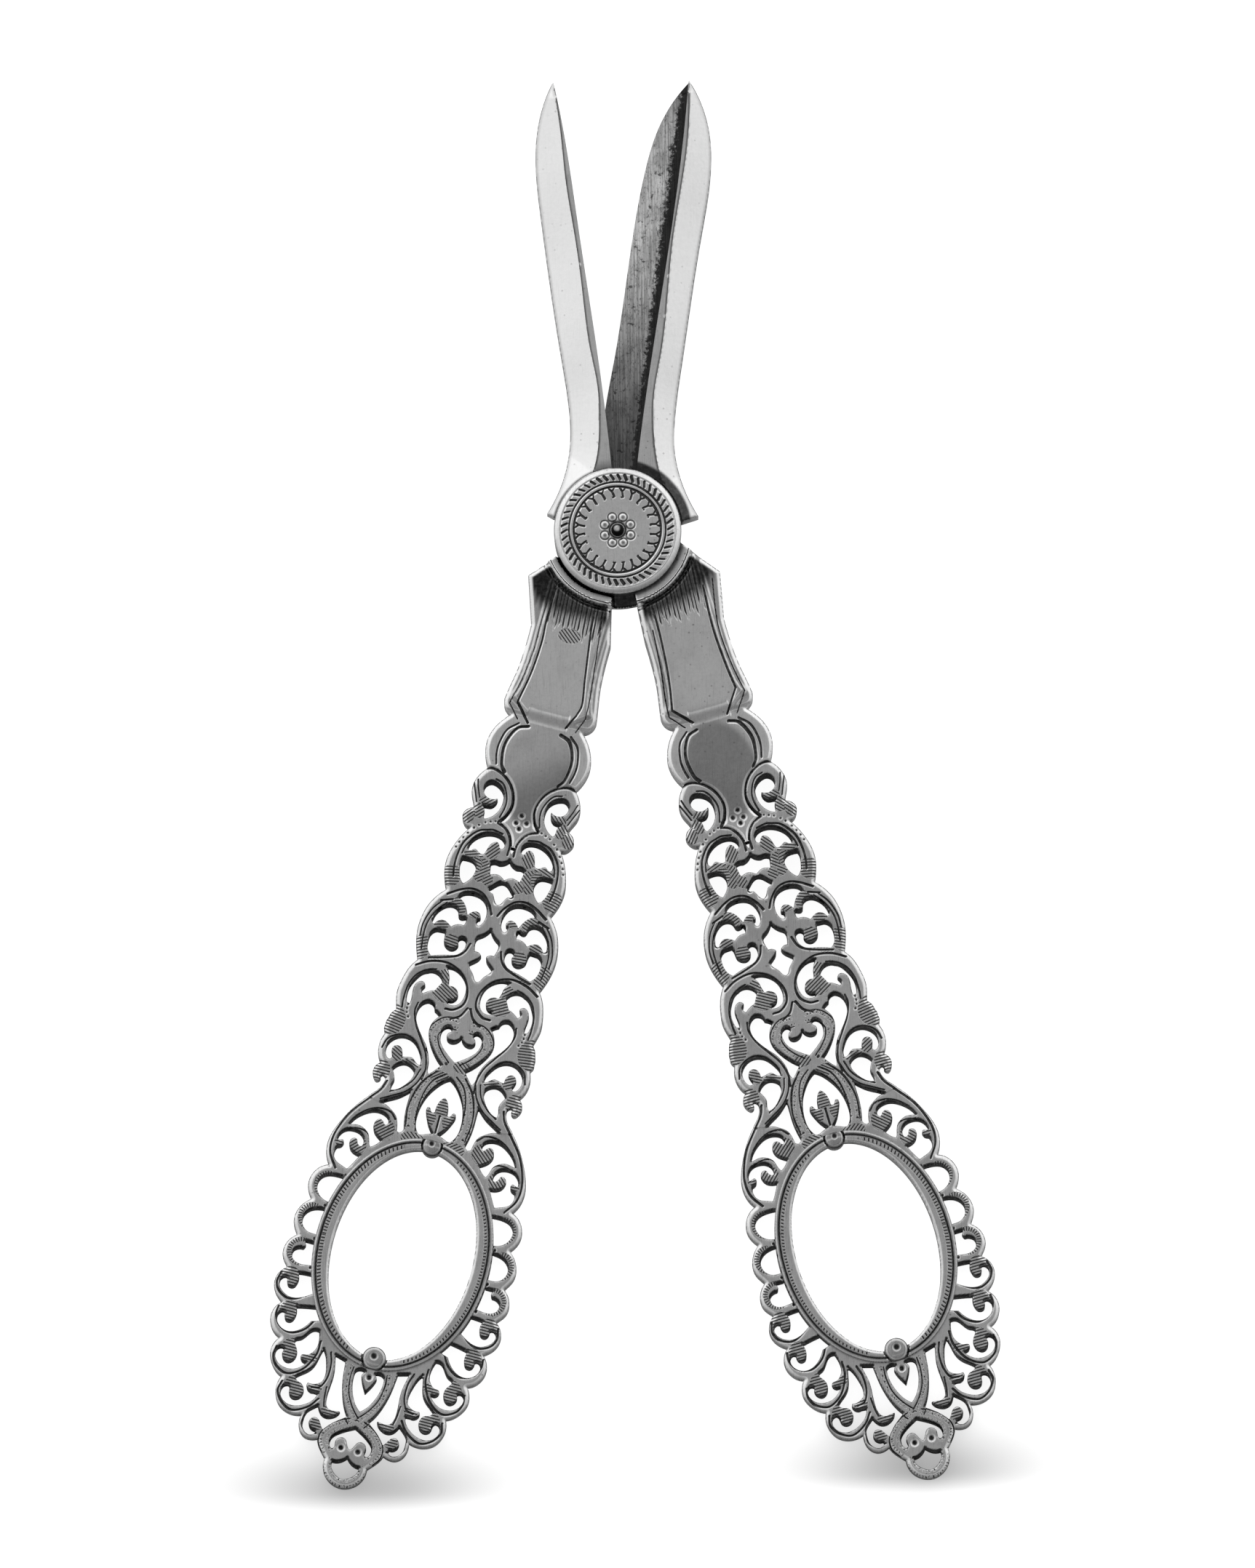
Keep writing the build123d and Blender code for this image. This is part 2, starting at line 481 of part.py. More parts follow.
def shoulder_seam():
    seam = [handle_point(*share) for share in shoulder_seam_shares]
    one = make_face(Polyline(*seam, seam[0]))
    return one + mirror(one, Plane.YZ)


def shank_face(outer, inner):
    """The shank's outline from its shoulder to the grip, with the shoulder's two edges."""
    side = drawn(shank_side_shares[:-1], shank_point)
    last = shank_side_shares[-1]
    side.append([shank_point(*share) for share in last[:-1]] + [handle_point(*neck_edge_shares[0][0])])
    neck = drawn(neck_edge_shares)
    right = [[(inner, 0), (inner, -shoulder_corner_drop)], [(inner, -shoulder_corner_drop), side[0][0]]]
    right += side + neck
    left = [[(-x, y) for x, y in run] for run in side + neck]
    left = [list(reversed(run)) for run in reversed(left)]
    corner = (-outer, -shoulder_corner_drop)
    return outline(right + left + [[left[-1][-1], corner], [corner, (0, 0)], [(0, 0), (inner, 0)]])


def panel_face():
    """The raised panel of the shank, narrower than the shank and mitred at its end."""
    end = -panel_end_share * shank_length
    mitre = -panel_mitre_share * shank_length
    side = [(x - panel_inset, y) for x, y in drawn(shank_side_shares[:1], shank_point)[0][:-1]]
    foot = (side[-1][0] + (side[-1][0] - side[-2][0]), mitre)
    tip = (panel_end_width_share * neck_half_width, end)
    right = [[(side[0][0], 0), side[0]], side + [foot], [foot, tip], [tip, (0, end)]]
    return outline(right + mirrored(right) + [[(-side[0][0], 0), (side[0][0], 0)]])


def placed(shape, hand):
    """Moves a handle piece from its own axis to its place on the shears."""
    if hand == "left":
        return Rot(0, 0, -handle_tilt) * Pos(-left_axis_offset, -left_axis_rise) * shape
    return Rot(0, 0, handle_tilt) * Pos(right_axis_offset, -right_axis_rise) * mirror(shape, Plane.YZ)


def shoulder(hand):
    """Shank, shoulder and neck plate of one handle, before its boss is fitted."""
    outer, inner = ((left_shoulder_outer, left_shoulder_inner) if hand == "left"
                    else (right_shoulder_outer, right_shoulder_inner))
    face = shank_face(outer, inner)
    neck_top = shank_thickness - neck_step
    body = slab(face, 0, neck_top)
    above = Pos(0, -panel_end_share * shank_length / 2) * Rectangle(wide, panel_end_share * shank_length)
    body += slab(face & above, neck_top, shank_thickness)
    body += slab(panel_face() & face, shank_thickness, shank_thickness + panel_rise)
    body = placed(body, hand)
    outside = placed(slab(face, 0, tall), hand)
    ledge = disc(ledge_radius, shank_thickness, ledge_height) & outside
    rim = (disc(ledge_radius, ledge_height, ledge_height + rim_rise)
           - disc(ledge_radius - rim_width, ledge_height, ledge_height + rim_rise)) & outside
    hollow = disc(ledge_radius, shank_thickness, tall)
    return (body - hollow) + ledge + rim


def left_shank():
    """Rear half: the boss lies on the resting plane, under the rear blade's tang."""
    body = shoulder("left")
    body -= disc(boss_radius, 0, rear_tang_top)
    body -= disc(boss_radius + turning_gap, rear_tang_top, tall)
    body += disc(boss_radius, 0, rear_boss_top)
    body += slab(sector(lap_radius, lap_from, lap_to), 0, rear_boss_top)
    body -= disc(cap_radius, 0, cap_thickness)
    return body - disc(pin_radius + pin_clearance, 0, tall)


def right_shank():
    """Front half: undercut to pass over the rear boss, with its own boss above the tangs."""
    body = shoulder("right")
    body -= disc(lap_radius + turning_gap, 0, rear_boss_top + joint_gap)
    body -= disc(boss_radius + turning_gap, 0, front_tang_bottom)
    body -= disc(boss_radius, 0, front_tang_top)
    body -= disc(boss_radius, front_tang_top, tall)
    body += disc(boss_radius, front_tang_top, disc_bottom)
    return body - disc(pin_radius + pin_clearance, 0, tall)


def grip(face, seam):
    """The pierced grip, thicker at its root beside the shank."""
    plate = slab(face - seam, 0, grip_root_thickness)
    slope_from = handle_point(0, taper_shares[0])[1]
    slope_to = handle_point(0, taper_shares[1])[1]
    far = -wide
    side = Polyline((slope_from, grip_root_thickness), (slope_to, grip_thickness), (far, grip_thickness),
                    (far, tall), (slope_from, tall), (slope_from, grip_root_thickness))
    taper = extrude(Plane.YZ * make_face(side), grip_half_width * 2, both=True)
    return plate - taper


def bow_ring():
    """The finger bow: a rounded oval band with a round bead at each end."""
    band = slab(bow_ellipse() - bow_ellipse(bow_side_width, bow_end_width), 0, bow_thickness)
    band = fillet(band.faces().sort_by(Axis.Z)[-1].edges(), bow_round)
    inside = slab(bow_ellipse(), 0, bow_thickness)
    top = handle_point(0, 1)[1] - bow_end_width / 2
    bottom = handle_point(0, 2)[1] + bow_end_width
    for radius, y in ((top_bead_radius, top), (bottom_bead_radius, bottom)):
        band += (Pos(0, y) * disc(radius, 0, bow_thickness - bow_round)) & inside
        band -= Pos(0, y) * disc(bead_pit_radius, bow_thickness / 2, tall)
    return band


def blade_face(outer, inner, root):
    """A blade's outline between an outer and an inner edge, run in to the tang."""
    outside = drawn(outer, blade_point)
    inside = drawn([inner], blade_point)[0]
    return outline(outside + [[outside[-1][-1], root], [root, inside[0]], inside])


def strip_face(edge, other, root):
    """A strip between two lines that meet at the tip, run in to the tang."""
    one = drawn([edge], blade_point)[0]
    two = drawn([other], blade_point)[0]
    runs = [list(reversed(one)), [one[0], root], [root, two[0]], two]
    if one[-1] != two[-1]:
        runs.append([two[-1], one[-1]])
    return outline(runs)


def tang_root(angle):
    return (boss_radius * root_share * math.cos(math.radians(angle)),
            boss_radius * root_share * math.sin(math.radians(angle)))


def right_blade():
    """Rear blade: bright flange, flat land, and a tang in the middle of the pivot."""
    root = tang_root(right_root_angle)
    flange = slab(blade_face(right_outer_shares, right_flange_shares, root), rear_boss_top, flange_height)
    land = slab(strip_face(right_flange_shares, right_land_shares, root), rear_tang_top, land_height)
    body = flange + land - disc(boss_radius + turning_gap, rear_tang_top, tall)
    body += disc(boss_radius, rear_boss_top, rear_tang_top)
    body -= disc(lap_radius, 0, rear_boss_top)
    return body - disc(pin_radius + pin_clearance, 0, tall)


def right_plate():
    """The steel plate that the stem is held on, let in under the land."""
    face = strip_face(right_flange_shares, right_plate_shares, tang_root(right_plate_root_angle))
    return slab(face, rear_tang_top - plate_thickness, rear_tang_top) - disc(boss_radius, 0, tall)


def left_blade():
    """Front blade: bright flange and a thin land over the steel edge."""
    root = tang_root(left_root_angle)
    flange = slab(blade_face(left_outer_shares, left_flange_shares, root), front_tang_bottom, flange_height)
    land_bottom = front_tang_bottom + edge_thickness
    land = slab(strip_face(left_flange_shares, left_cut_shares, root), land_bottom, land_height)
    body = flange + land - disc(disc_radius + pin_clearance, front_tang_top, tall)
    body += disc(boss_radius, front_tang_bottom, front_tang_top)
    return body - disc(pin_radius + pin_clearance, 0, tall)


def left_edge():
    face = strip_face(left_flange_shares, left_cut_shares, tang_root(left_edge_root_angle))
    bottom = front_tang_bottom
    return slab(face, bottom, bottom + edge_thickness) - disc(boss_radius, 0, tall)


def rosette():
    """The round plate over the pivot, with a ring of petals round the pin's nose."""
    plate = disc(disc_radius, disc_bottom, disc_top)
    plate = fillet(plate.edges().sort_by(Axis.Z)[-1], disc_round)
    for place in PolarLocations(flower_radius, flower_petals):
        plate += place * disc(petal_radius, disc_top, disc_top + petal_rise)
    plate -= disc(pin_radius + pin_clearance, 0, disc_top - shaft_top_drop)
    return plate - disc(nose_radius + pin_clearance, 0, tall)


def pivot_pin():
    shaft = disc(pin_radius, cap_thickness, disc_top - shaft_top_drop)
    nose = disc(nose_radius, disc_top - shaft_top_drop, disc_top + nose_height)
    nose = fillet(nose.edges().sort_by(Axis.Z)[-1], nose_round)
    return shaft + nose


def rear_cap():
    return disc(cap_radius, 0, cap_thickness)


def write(name, shape):
    export_step(Compound(children=shape) if isinstance(shape, list) else shape, f"parts/{name}.step")


def main():
    os.makedirs("parts", exist_ok=True)
    face = pierced_face()
    seam = shoulder_seam()
    handle_pieces = {
        "grip": grip(face, seam),
        "bow_ring": bow_ring(),
        "bow_fringe": slab(face & seam, 0, fringe_thickness),
    }
    for hand in ("left", "right"):
        for name, piece in handle_pieces.items():
            write(f"{hand}_{name}", placed(piece, hand))
    write("left_shank", left_shank())
    write("right_shank", right_shank())
    write("right_blade_back", right_blade())
    write("right_blade_plate", right_plate())
    write("left_blade_back", left_blade())
    write("left_blade_edge", left_edge())
    write("rosette_disc", rosette())
    write("pivot_pin", pivot_pin())
    write("rear_cap", rear_cap())


main()
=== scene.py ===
"""Looks for the grape shears: relief, engraving, materials, camera and light."""
import bpy
import json
import math
import numpy as np
from mathutils import Matrix, Vector
from mathutils.bvhtree import BVHTree
from mathutils.geometry import tessellate_polygon


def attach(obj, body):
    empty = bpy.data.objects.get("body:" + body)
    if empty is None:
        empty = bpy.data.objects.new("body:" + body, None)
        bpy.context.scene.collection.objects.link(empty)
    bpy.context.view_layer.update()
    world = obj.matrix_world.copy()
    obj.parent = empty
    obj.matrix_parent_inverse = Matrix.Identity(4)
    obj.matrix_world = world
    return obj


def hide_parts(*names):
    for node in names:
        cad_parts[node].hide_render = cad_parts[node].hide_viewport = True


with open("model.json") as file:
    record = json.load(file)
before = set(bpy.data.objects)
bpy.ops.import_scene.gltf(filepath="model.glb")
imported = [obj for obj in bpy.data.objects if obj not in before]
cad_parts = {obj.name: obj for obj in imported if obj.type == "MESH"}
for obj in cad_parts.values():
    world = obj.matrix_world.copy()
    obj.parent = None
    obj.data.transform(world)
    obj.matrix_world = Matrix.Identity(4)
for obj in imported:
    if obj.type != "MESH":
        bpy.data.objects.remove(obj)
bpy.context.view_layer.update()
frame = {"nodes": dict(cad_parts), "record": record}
MM = 0.001
TILT = math.radians(15.6)   # between a handle's axis and the middle line
OFFSET = {"left": (-2.3, -0.17), "right": (4.65, -0.33)}   # a handle's axis from the pivot, mm
BOW_MIDDLE = -95.6   # middle of the finger opening, on the handle's axis, mm
BEADS = ((-81.3, 1.25), (-109.2, 1.5))   # each bead's middle on the handle's axis, and its radius
RING_TOP = 2.4   # height of the finger rings, mm
SHOULDER = 9.7   # radius round the pivot where the shanks' panels begin
DISC_RADIUS, DISC_TOP = 8.05, 5.05
NO_LINE = 3.0   # stands for a point that no engraved line is near
LIT = (-0.64, 0.77)   # plan direction that the engraving is lit from


# Camera: from above, leaning a little towards the handles
PITCH, ROLL = math.radians(9.0), math.radians(0.585)
DISTANCE, VIEW_WIDTH, SENSOR = 2.5, 0.1977, 36.0   # metres, metres at the object, mm
cam_data = bpy.data.cameras.new("camera")
cam = bpy.data.objects.new("camera", cam_data)
bpy.context.scene.collection.objects.link(cam)
bpy.context.scene.camera = cam
target = Vector((0.00092, -0.03208, 0.0025))   # what the middle of the photograph shows
up = Vector((math.sin(ROLL), math.cos(ROLL), 0))
back = Vector((0, 0, 1)) * math.cos(PITCH) - up * math.sin(PITCH)
cam.location = target + back * DISTANCE
side = up.cross(back).normalized()
true_up = back.cross(side).normalized()
cam.matrix_world = Matrix((
    (side.x, true_up.x, back.x, cam.location.x),
    (side.y, true_up.y, back.y, cam.location.y),
    (side.z, true_up.z, back.z, cam.location.z),
    (0, 0, 0, 1)))
cam_data.sensor_width = SENSOR
cam_data.lens = SENSOR * DISTANCE / VIEW_WIDTH
cam_data.clip_start, cam_data.clip_end = 0.5, 10.0


# Outlines of the CAD pieces, in millimetres

def triangles(node):
    """A CAD piece's points in millimetres and its triangles."""
    me = frame["nodes"][node].data
    me.calc_loop_triangles()
    co = np.empty(len(me.vertices) * 3)
    me.vertices.foreach_get("co", co)
    tri = np.empty(len(me.loop_triangles) * 3, dtype=np.int32)
    me.loop_triangles.foreach_get("vertices", tri)
    return co.reshape(-1, 3) * 1000, tri.reshape(-1, 3)


def plan_edges(node, level=None):
    """Edges that only one downward triangle has, or only one upward triangle at a level."""
    co, tri = triangles(node)
    a, b, c = co[tri[:, 0]], co[tri[:, 1]], co[tri[:, 2]]
    n = np.cross(b - a, c - a)
    nz = n[:, 2] / np.maximum(np.linalg.norm(n, axis=1), 1e-12)
    first, inverse = np.unique(np.round(co * 2000).astype(np.int64), axis=0, return_index=True,
                               return_inverse=True)[1:]
    if level is None:
        pick = nz < -0.5
    else:
        pick = (nz > 0.5) & (np.abs(np.stack([a[:, 2], b[:, 2], c[:, 2]]) - level).max(axis=0) < 0.02)
    t = inverse.reshape(-1)[tri[pick]]
    e = np.sort(np.concatenate([t[:, [0, 1]], t[:, [1, 2]], t[:, [2, 0]]]), axis=1)
    pairs, count = np.unique(e, axis=0, return_counts=True)
    return co[first[pairs[count == 1]]][:, :, :2]


def to_local(p, hand):
    """The part's frame to the handle's own axis: x across, towards the other handle, and y up."""
    p = np.asarray(p, dtype=float)
    t = TILT if hand == "left" else -TILT
    x = p[..., 0] * math.cos(t) - p[..., 1] * math.sin(t) - OFFSET[hand][0]
    y = p[..., 0] * math.sin(t) + p[..., 1] * math.cos(t) - OFFSET[hand][1]
    return np.stack([x if hand == "left" else -x, y], -1)


def to_row(p, hand):
    """The way back from to_local."""
    x = (p[..., 0] if hand == "left" else -p[..., 0]) + OFFSET[hand][0]
    y = p[..., 1] + OFFSET[hand][1]
    t = -TILT if hand == "left" else TILT
    return np.stack([x * math.cos(t) - y * math.sin(t), x * math.sin(t) + y * math.cos(t)], -1)


class Grid:
    """A square grid in millimetres that holds one plan region and its distances."""

    def __init__(self, low, high, step):
        self.low, self.h = np.array(low, dtype=float), step
        self.n = np.ceil((np.array(high) - self.low) / step).astype(int) + 1
        self.x = self.low[0] + step * np.arange(self.n[0])
        self.y = self.low[1] + step * np.arange(self.n[1])
        self.X, self.Y = np.meshgrid(self.x, self.y)

    def inside(self, edges, half=0.0):
        """Even-odd mask, at the grid's points or, with half, at its cells' centres."""
        rows, cols = self.n[1], self.n[0]
        hits = np.zeros((rows, cols + 1), dtype=np.int32)
        y0, x0, h = self.low[1] + half + 1e-6, self.low[0] + half, self.h
        for (x1, y1), (x2, y2) in edges:
            if y1 > y2:
                x1, y1, x2, y2 = x2, y2, x1, y1
            j = np.arange(max(0, math.ceil((y1 - y0) / h)), min(rows, math.ceil((y2 - y0) / h)))
            if len(j):
                at = x1 + (x2 - x1) * (y0 + j * h - y1) / (y2 - y1)
                k = np.clip(np.ceil((at - x0) / h).astype(int), 0, cols)
                np.add.at(hits, (j, k), 1)
        return np.cumsum(hits, axis=1)[:, :-1] % 2 == 1

    def distance(self, edges, reach):
        """Distance to the nearest edge and that nearest point, within reach."""
        d = np.full(self.X.shape, 9.0)   # more than any reach
        near = np.zeros(self.X.shape + (2,))
        for (x1, y1), (x2, y2) in edges:
            i0 = max(0, int((min(x1, x2) - reach - self.low[0]) / self.h))
            i1 = min(self.n[0], int((max(x1, x2) + reach - self.low[0]) / self.h) + 2)
            j0 = max(0, int((min(y1, y2) - reach - self.low[1]) / self.h))
            j1 = min(self.n[1], int((max(y1, y2) + reach - self.low[1]) / self.h) + 2)
            if i0 >= i1 or j0 >= j1:
                continue
            X, Y = self.X[j0:j1, i0:i1], self.Y[j0:j1, i0:i1]
            dx, dy = x2 - x1, y2 - y1
            t = np.clip(((X - x1) * dx + (Y - y1) * dy) / max(dx * dx + dy * dy, 1e-12), 0, 1)
            px, py = x1 + t * dx, y1 + t * dy
            q = np.hypot(X - px, Y - py)
            part = d[j0:j1, i0:i1]
            better = q < part
            part[better] = q[better]
            near[j0:j1, i0:i1][better] = np.stack([px, py], -1)[better]
        return d, near


def smooth_line(points, step=0.1):
    """Catmull-Rom curve through the given points."""
    p = np.array(points, dtype=float)
    if len(p) < 3:
        n = max(2, int(np.hypot(*(p[1] - p[0])) / step))
        return p[0] + (p[1] - p[0]) * np.linspace(0, 1, n)[:, None]
    q = np.vstack([2 * p[0] - p[1], p, 2 * p[-1] - p[-2]])
    out = []
    for a, b, c, d in zip(q[:-3], q[1:-2], q[2:-1], q[3:]):
        n = max(2, int(np.hypot(*(c - b)) / step))
        t = np.linspace(0, 1, n, endpoint=False)[:, None]
        out.append(0.5 * (2 * b + (c - a) * t + (2 * a - 5 * b + 4 * c - d) * t ** 2
                          + (3 * b - a - 3 * c + d) * t ** 3))
    return np.vstack(out + [p[-1:]])


class Relief:
    """Depth, dark patina and painted shade, rubbed edges and painted highlights, engraved lines and
    hatching over a grid.

    A line is kept as each point's offset from it, in half widths, and hatching as
    a phase, so that the shader draws both sharper than the grid.
    """

    def __init__(self, grid):
        self.g = grid
        shape = grid.X.shape
        self.cut, self.dark, self.hatched, self.phase, self.wear_and_highlight = (np.zeros(shape) for _ in range(5))
        self.near = np.full(shape, NO_LINE)
        self.off = np.zeros(shape + (2,))

    def window(self, x0, y0, x1, y1):
        """Slices of the grid that cover a box."""
        g = self.g
        return (slice(max(0, int((y0 - g.low[1]) / g.h)), max(0, int((y1 - g.low[1]) / g.h) + 2)),
                slice(max(0, int((x0 - g.low[0]) / g.h)), max(0, int((x1 - g.low[0]) / g.h) + 2)))

    def mark(self, shape, depth, dark, w=slice(None)):
        """Cuts and darkens by a shape of 0 to 1."""
        self.cut[w] = np.maximum(self.cut[w], depth * shape)
        self.dark[w] = np.maximum(self.dark[w], dark * shape)

    def stripes(self, shape, phase, w=slice(None)):
        """Parallel cuts where shape is over 0, one for each whole step of phase."""
        over = shape > 0
        self.hatched[w][over] = shape[over]
        self.phase[w][over] = phase[over]

    def line(self, points, width=0.4, depth=0.03, beads=0.0, offset=0.0, ink=0.0):
        """One engraved line, or with beads a milled row of that pitch."""
        p = smooth_line(points)
        if offset:
            t = np.gradient(p, axis=0)
            t /= np.maximum(np.hypot(t[:, 0], t[:, 1]), 1e-9)[:, None]
            p = p + offset * np.stack([-t[:, 1], t[:, 0]], -1)
        run = np.concatenate([[0], np.cumsum(np.hypot(*np.diff(p, axis=0).T))])
        half = width / 2
        r = width + self.g.h
        for k in range(len(p) - 1):
            (x1, y1), (x2, y2) = p[k], p[k + 1]
            w = self.window(min(x1, x2) - r, min(y1, y2) - r, max(x1, x2) + r, max(y1, y2) + r)
            X, Y = self.g.X[w], self.g.Y[w]
            if not X.size:
                continue
            dx, dy = x2 - x1, y2 - y1
            t = np.clip(((X - x1) * dx + (Y - y1) * dy) / max(dx * dx + dy * dy, 1e-12), 0, 1)
            ox, oy = X - x1 - t * dx, Y - y1 - t * dy
            q = np.hypot(ox, oy) / half
            if beads:
                along = run[k] + t * (run[k + 1] - run[k])
                self.stripes(np.clip(1.6 - q, 0, 1), along / beads, w)
                continue
            closer = q < self.near[w]
            self.near[w][closer] = q[closer]
            self.off[w][closer] = np.stack([ox, oy], -1)[closer] / half
            self.mark(np.clip(1.5 * (1 - q), 0, 1), 0.0, ink, w)
            self.cut[w] = np.maximum(self.cut[w], depth * np.clip(1 - q, 0, 1))

    def hatch(self, x, y, rx, ry, angle, pitch=0.37):
        """Parallel engraved lines in an oval patch."""
        w = self.window(x - rx, y - ry, x + rx, y + ry)
        X, Y = self.g.X[w] - x, self.g.Y[w] - y
        a = math.radians(angle)
        self.stripes(np.clip(6 * (1 - (X / rx) ** 2 - (Y / ry) ** 2), 0, 1),
                     (-X * math.sin(a) + Y * math.cos(a)) / pitch, w)

    def fan(self, x, y, r0, r1, a0, a1, pitch):
        """Radial engraved ticks round a centre, between two radii and two angles."""
        w = self.window(x - r1, y - r1, x + r1, y + r1)
        X, Y = self.g.X[w] - x, self.g.Y[w] - y
        r, a = np.hypot(X, Y), np.degrees(np.arctan2(Y, X))
        rel = (a - a0) % 360
        inside = np.clip((r - r0) / 0.1, 0, 1) * np.clip((r1 - r) / 0.1, 0, 1) * (rel <= (a1 - a0))
        self.stripes(inside, rel / pitch, w)

    def pit(self, x, y, r, depth=0.2, dark=1.0):
        """A punched pit: bright flanks and a dark core."""
        w = self.window(x - r, y - r, x + r, y + r)
        q = np.hypot(self.g.X[w] - x, self.g.Y[w] - y) / r
        self.cut[w] = np.maximum(self.cut[w], depth * np.clip(1 - q, 0, 1))
        self.dark[w] = np.maximum(self.dark[w], dark * np.clip(5 * (0.72 - q), 0, 1))


def ease(x, a, b):
    """Smooth step from 0 at a to 1 at b."""
    t = np.clip((x - a) / (b - a), 0, 1)
    return t * t * (3 - 2 * t)


def rounded(d, radius, drop):
    """How far a rounded edge falls at distance d from the outline."""
    t = np.clip(1 - d / radius, 0, 1)
    return drop * (1 - np.sqrt(np.maximum(1 - t * t, 0)))


def tidy_cells(keep, least=60):
    """Joins cells that would meet only at a corner, and drops crumbs."""
    cells = keep[:-1, :-1].copy()
    for _ in range(8):
        a, b, c, d = cells[:-1, :-1], cells[:-1, 1:], cells[1:, :-1], cells[1:, 1:]
        one, two = a & d & ~b & ~c, b & c & ~a & ~d
        b |= one
        a |= two
    left = cells.copy()
    for start in zip(*np.nonzero(cells)):
        if not left[start]:
            continue
        group, todo = [], [start]
        left[start] = False
        while todo:
            j, i = todo.pop()
            group.append((j, i))
            for at in ((j + 1, i), (j - 1, i), (j, i + 1), (j, i - 1)):
                if 0 <= at[0] < left.shape[0] and 0 <= at[1] < left.shape[1] and left[at]:
                    left[at] = False
                    todo.append(at)
        if len(group) < least:
            for at in group:
                cells[at] = False
    return cells


def relief_mesh(name, r, keep, own_near, top, bottom, place, wall_dark):
    """A closed plate over the kept cells. Its border lies exactly on the outline."""
    g = r.g
    rows, cols = g.X.shape
    cells = tidy_cells(keep)
    corners = np.zeros((rows, cols), dtype=int)
    for dj in (0, 1):
        for di in (0, 1):
            corners[dj:rows - 1 + dj, di:cols - 1 + di] += cells
    sel = corners > 0
    border = sel & (corners < 4)
    pos = np.stack([g.X, g.Y], -1)
    pos[border] = own_near[border]
    n = int(sel.sum())
    index = np.full((rows, cols), -1)
    index[sel] = np.arange(n)
    xy = place(pos[sel])
    j, i = np.nonzero(cells)
    quads = np.stack([index[j, i], index[j, i + 1], index[j + 1, i + 1], index[j + 1, i]], 1)
    e = np.concatenate([quads[:, [0, 1]], quads[:, [1, 2]], quads[:, [2, 3]], quads[:, [3, 0]]])
    code = e[:, 0].astype(np.int64) * n + e[:, 1]
    back_code = e[:, 1].astype(np.int64) * n + e[:, 0]
    open_edges = e[~np.isin(code, back_code)]
    flat = not np.ndim(bottom)
    low = np.full(n, bottom) if flat else bottom[sel]
    if mirrored_place(place):
        quads = quads[:, ::-1]
        open_edges = open_edges[:, ::-1]
    a, b = open_edges[:, 0], open_edges[:, 1]
    walls = np.stack([b, a, a + n, b + n], 1)
    verts = np.vstack([np.column_stack([xy, top[sel]]), np.column_stack([xy, low])]) * MM
    under = flat_fill(verts, open_edges, n) if flat else (quads + n)[:, ::-1]
    parts = [quads, walls, under]
    me = bpy.data.meshes.new(name)
    me.vertices.add(len(verts))
    me.vertices.foreach_set("co", verts.ravel())
    flat_index = np.concatenate([q.ravel() for q in parts]).astype(np.int32)
    sizes = np.concatenate([np.full(len(q), q.shape[1]) for q in parts])
    me.loops.add(len(flat_index))
    me.loops.foreach_set("vertex_index", flat_index)
    me.polygons.add(len(sizes))
    me.polygons.foreach_set("loop_start", np.concatenate([[0], np.cumsum(sizes)[:-1]]).astype(np.int32))
    me.update(calc_edges=True)
    off = place(r.off[sel]) - place(np.zeros((1, 2)))
    # lean is low on the side of each engraved line that faces LIT; the shader paints shade on that flank
    lean = -(off[:, 0] * LIT[0] + off[:, 1] * LIT[1])
    fields = {"dark": r.dark[sel], "near": r.near[sel], "lean": lean, "hatched": r.hatched[sel],
              "phase": r.phase[sel], "wear_and_highlight": r.wear_and_highlight[sel]}
    for key, value in fields.items():
        below = np.full(n, NO_LINE if key == "near" else 0.0)
        at = me.attributes.new(key, "FLOAT", "POINT")
        at.data.foreach_set("value", np.concatenate([value, below]).astype(np.float32))
    side_value = np.zeros(len(sizes), dtype=np.float32)
    side_value[len(quads):len(quads) + len(walls)] = wall_dark[sel][a]
    at = me.attributes.new("side", "FLOAT", "FACE")
    at.data.foreach_set("value", side_value)
    me.shade_smooth()
    me.set_sharp_from_angle(angle=math.radians(48))
    ob = bpy.data.objects.new(name, me)
    bpy.context.scene.collection.objects.link(ob)
    return ob


def flat_fill(verts, open_edges, n):
    """Triangles that close the flat underside between its border loops."""
    follow = {}
    for a, b in open_edges:
        follow.setdefault(int(a), []).append(int(b))
    loops = []
    while follow:
        start = next(iter(follow))
        loop, at = [], start
        while at in follow:
            loop.append(at)
            nxt = follow[at].pop()
            if not follow[at]:
                del follow[at]
            at = nxt
        if len(loop) > 2:
            loops.append(loop)
    flat = [i for loop in loops for i in loop]
    outlines = [[Vector((verts[i][0] * 1000, verts[i][1] * 1000, 0)) for i in loop] for loop in loops]
    t = np.array([[flat[k] for k in tri] for tri in tessellate_polygon(outlines)])
    p = verts[t][:, :, :2]
    cross = ((p[:, 1, 0] - p[:, 0, 0]) * (p[:, 2, 1] - p[:, 0, 1])
             - (p[:, 1, 1] - p[:, 0, 1]) * (p[:, 2, 0] - p[:, 0, 0]))
    t[cross > 0] = t[cross > 0][:, ::-1]

    def sides(tri):
        return {(int(x), int(y)) for x, y in zip(tri, np.roll(tri, -1))}

    # A triangle too thin to tell its own side takes the one that fits its neighbours
    slim = np.abs(cross) < 1e-12
    have = set().union(*(sides(tri) for tri in t[~slim])) | {(int(x), int(y)) for x, y in open_edges}
    pending = list(np.nonzero(slim)[0])
    for _ in range(6):
        for k in pending[:]:
            ways = [t[k].copy(), t[k][::-1].copy()]
            clash = [len(sides(w) & have) for w in ways]
            if clash[0] != clash[1]:
                t[k] = ways[int(clash[1] < clash[0])]
                have |= sides(t[k])
                pending.remove(k)
    return t + n


